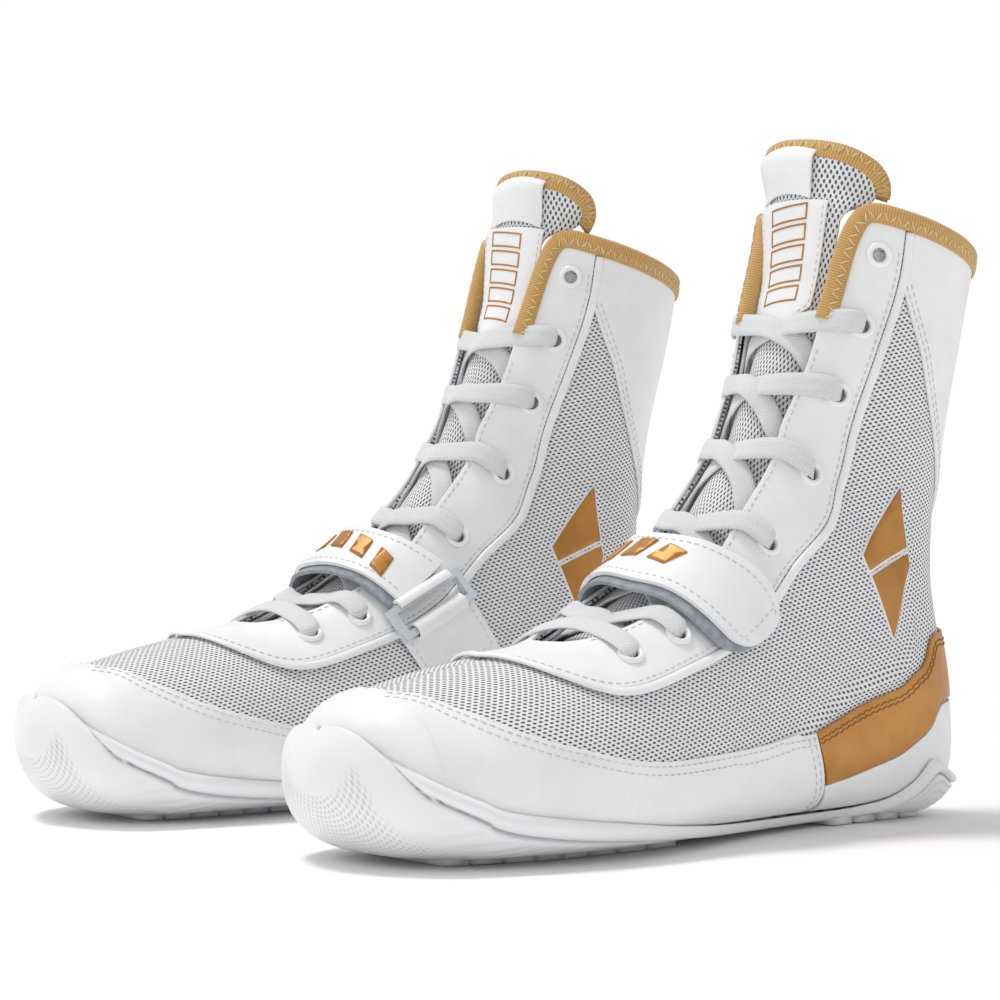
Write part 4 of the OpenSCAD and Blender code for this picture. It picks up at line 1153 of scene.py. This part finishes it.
def around_bar(boot, name, centre, length, inner, start, stop, thickness, material, body, replaces=()):
    """A strip of stuff bent round one of the ring's bars."""
    middle, row, down, out = ring_frame(boot)
    angles = np.radians(np.linspace(start, stop, 25))
    reach = np.linspace(-length / 2, length / 2, 13)
    radius = inner + thickness
    points = np.array([[middle + centre * down + r * row + radius * (math.cos(a) * out + math.sin(a) * down)
                        for r in reach] for a in angles])
    world = in_pair(points.reshape(-1, 3), boot).reshape(points.shape)
    uvs = np.stack([np.broadcast_to(reach, points.shape[:2]), np.broadcast_to((angles * radius)[:, None], points.shape[:2])], axis=2)
    bm = mapped_grid(world, uvs)
    axis = Vector(in_pair((middle + centre * down)[None], boot)[0])
    bm.normal_update()
    bm.faces.ensure_lookup_table()
    face = bm.faces[len(bm.faces) // 2]
    out_way = face.calc_center_median() - axis
    along = Vector(in_pair((middle + centre * down + row)[None], boot)[0]) - axis
    out_way -= along * (out_way.dot(along) / along.dot(along))
    if face.normal.dot(out_way) < 0:
        bmesh.ops.reverse_faces(bm, faces=bm.faces)
    obj = thicken(object_from(bm, boot.name + "_" + name), thickness, rim=0.3)
    return finish_piece(obj, boot, material, body, replaces)


def build_keeper(boot):
    """The sewn patch with the loop that holds the ring's lower bar."""
    around_bar(boot, "keeper_loop", 5.5, 26, 2.5, -120, 150, 1.1, LEATHER, "boot")
    grid = between(edge([(5.36, -55.5, 2.6), (5.9, -56, 2.6), (6.52, -56.5, 2.6)], 30),
                   edge([(5.55, -73, 1.9), (6.05, -76, 1.9), (6.62, -80, 1.9)], 30), 24)
    obj = panel(boot, "keeper_patch", grid, 1.3)
    finish_piece(obj, boot, LEATHER, replaces=["ring_keeper"])
    rows = []
    for j in (2, 5, 21):
        rows.append(grid[2:-2, j] + [0, 0, 0.1])
    for i in (2, -3):
        rows.append(grid[i, 2:-3] + [0, 0, 0.1])
    thread(boot, "keeper_sewing", rows, THREAD, length=2.0, width=0.55, pitch=2.8)
    around_bar(boot, "strap_fold", -5.5, 27, 2.1, -178, 10, 1.6, LEATHER, "flap")


def build_emblem(boot):
    """A plain lozenge cut in two by a slanted gap, printed in gold on a white ground, on both sides."""
    slices = [[(-13, 3), (9, 27), (12.1, 5.4), (-10.8, -2.6)],
              [(-9.9, -4.7), (12.4, 3.1), (13, -1), (-1, -27)]]
    for side, name in ((1, "lateral"), (-1, "medial")):
        at = (8.85, side * 78)
        grown = [grow(np.array(outline, float), 0.9) for outline in slices]
        cut_out(boot, name + "_emblem_ground", grown, at, None, MESH_O + 0.35, 0.5, LEATHER, rim=0)
        cut_out(boot, name + "_emblem", slices, at, None, MESH_O + 0.65, 0.5, PRINT, rim=0)


def grow(outline, distance):
    """The outline with every side moved outwards."""
    p = outline
    area = np.sum(p[:, 0] * np.roll(p[:, 1], -1) - np.roll(p[:, 0], -1) * p[:, 1])
    sign = 1 if area > 0 else -1
    result = []
    for k in range(len(p)):
        a, b, c = p[k - 1], p[k], p[(k + 1) % len(p)]
        n1, n2 = (b - a) / np.linalg.norm(b - a), (c - b) / np.linalg.norm(c - b)
        n1, n2 = sign * np.array([n1[1], -n1[0]]), sign * np.array([n2[1], -n2[0]])
        way = (n1 + n2) / max(1 + n1.dot(n2), 0.5)
        result.append(tuple(b + way * distance))
    return result


# ---- The studio ----

def studio():
    floor = bpy.data.meshes.new("floor")
    bm = bmesh.new()
    bmesh.ops.create_grid(bm, x_segments=4, y_segments=4, size=6)
    bm.to_mesh(floor)
    bm.free()
    obj = bpy.data.objects.new("floor", floor)
    bpy.context.scene.collection.objects.link(obj)
    material, tree, shader, spot = new_material("matt_white_paper")
    fine = add(tree, "TexNoise", Vector=spot, Scale=0.02).outputs[0]
    tree.links.new(tint(tree, fine, "#F7F7F8", "#FBFBFC"), shader.inputs["Base Color"])
    shader.inputs["Roughness"].default_value = 0.9
    shader.inputs["Specular IOR Level"].default_value = 0.1
    floor.materials.append(material)
    scene = bpy.context.scene
    world = bpy.data.worlds.new("studio")
    scene.world = world
    world.use_nodes = True
    background = world.node_tree.nodes["Background"]
    background.inputs["Color"].default_value = linear("#FFFFFF")
    background.inputs["Strength"].default_value = 0.62
    glow = world.node_tree.nodes.new("ShaderNodeBackground")
    glow.inputs["Color"].default_value = linear("#FFFFFF")
    seen = world.node_tree.nodes.new("ShaderNodeLightPath")
    either = world.node_tree.nodes.new("ShaderNodeMixShader")
    links = world.node_tree.links
    links.new(seen.outputs["Is Camera Ray"], either.inputs[0])
    links.new(background.outputs[0], either.inputs[1])
    links.new(glow.outputs[0], either.inputs[2])
    links.new(either.outputs[0], world.node_tree.nodes["World Output"].inputs[0])
    scene.view_settings.view_transform = "Standard"

    def lamp(name, kind, energy, at, to, size=1.0, colour="#FFFFFF"):
        light = bpy.data.lights.new(name, kind)
        light.energy = energy
        light.color = linear(colour)[:3]
        if kind == "AREA":
            light.shape = "DISK"
            light.size = size
        else:
            light.angle = size
        holder = bpy.data.objects.new(name, light)
        scene.collection.objects.link(holder)
        holder.location = at
        holder.rotation_euler = (Vector(to) - Vector(at)).to_track_quat("-Z", "Y").to_euler()

    lamp("key_sun", "SUN", 1.55, (-0.7, -0.4, 2.4), (0, 0, 0.1), math.radians(14), "#FFFDF9")
    lamp("front_softbox", "AREA", 2, (-0.6, -1.7, 0.8), (0, 0, 0.15), 1.0)


def camera():
    azimuth, pitch = math.radians(52.71), math.radians(0.51)
    lens = bpy.data.cameras.new("camera")
    lens.sensor_width = 36
    lens.lens = 105.9
    lens.clip_start = 0.01
    holder = bpy.data.objects.new("camera", lens)
    bpy.context.scene.collection.objects.link(holder)
    holder.location = (0.87855, -0.6693, 0.12826)
    way = Vector((-math.sin(azimuth) * math.cos(pitch), math.cos(azimuth) * math.cos(pitch), -math.sin(pitch)))
    holder.rotation_euler = way.to_track_quat("-Z", "Y").to_euler()
    bpy.context.scene.camera = holder


camera()
studio()
for boot in (Boot("left", 1), Boot("right", -1)):
    build_fabric(boot)
    build_outsole(boot)
    build_treads(boot)
    build_panels(boot)
    build_sewing(boot)
    build_collar(boot)
    build_eyelets(boot)
    build_lace(boot)
    build_tongue(boot)
    build_tongue_front(boot)
    build_strap(boot)
    build_keeper(boot)
    build_emblem(boot)
    for node, material in (("insole_board", BOARD), ("sockliner", FOAM), ("heel_counter", STIFFENER), ("ring", ACETAL)):
        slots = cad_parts[boot.name + "_" + node].material_slots
        for item in slots:
            item.material = material
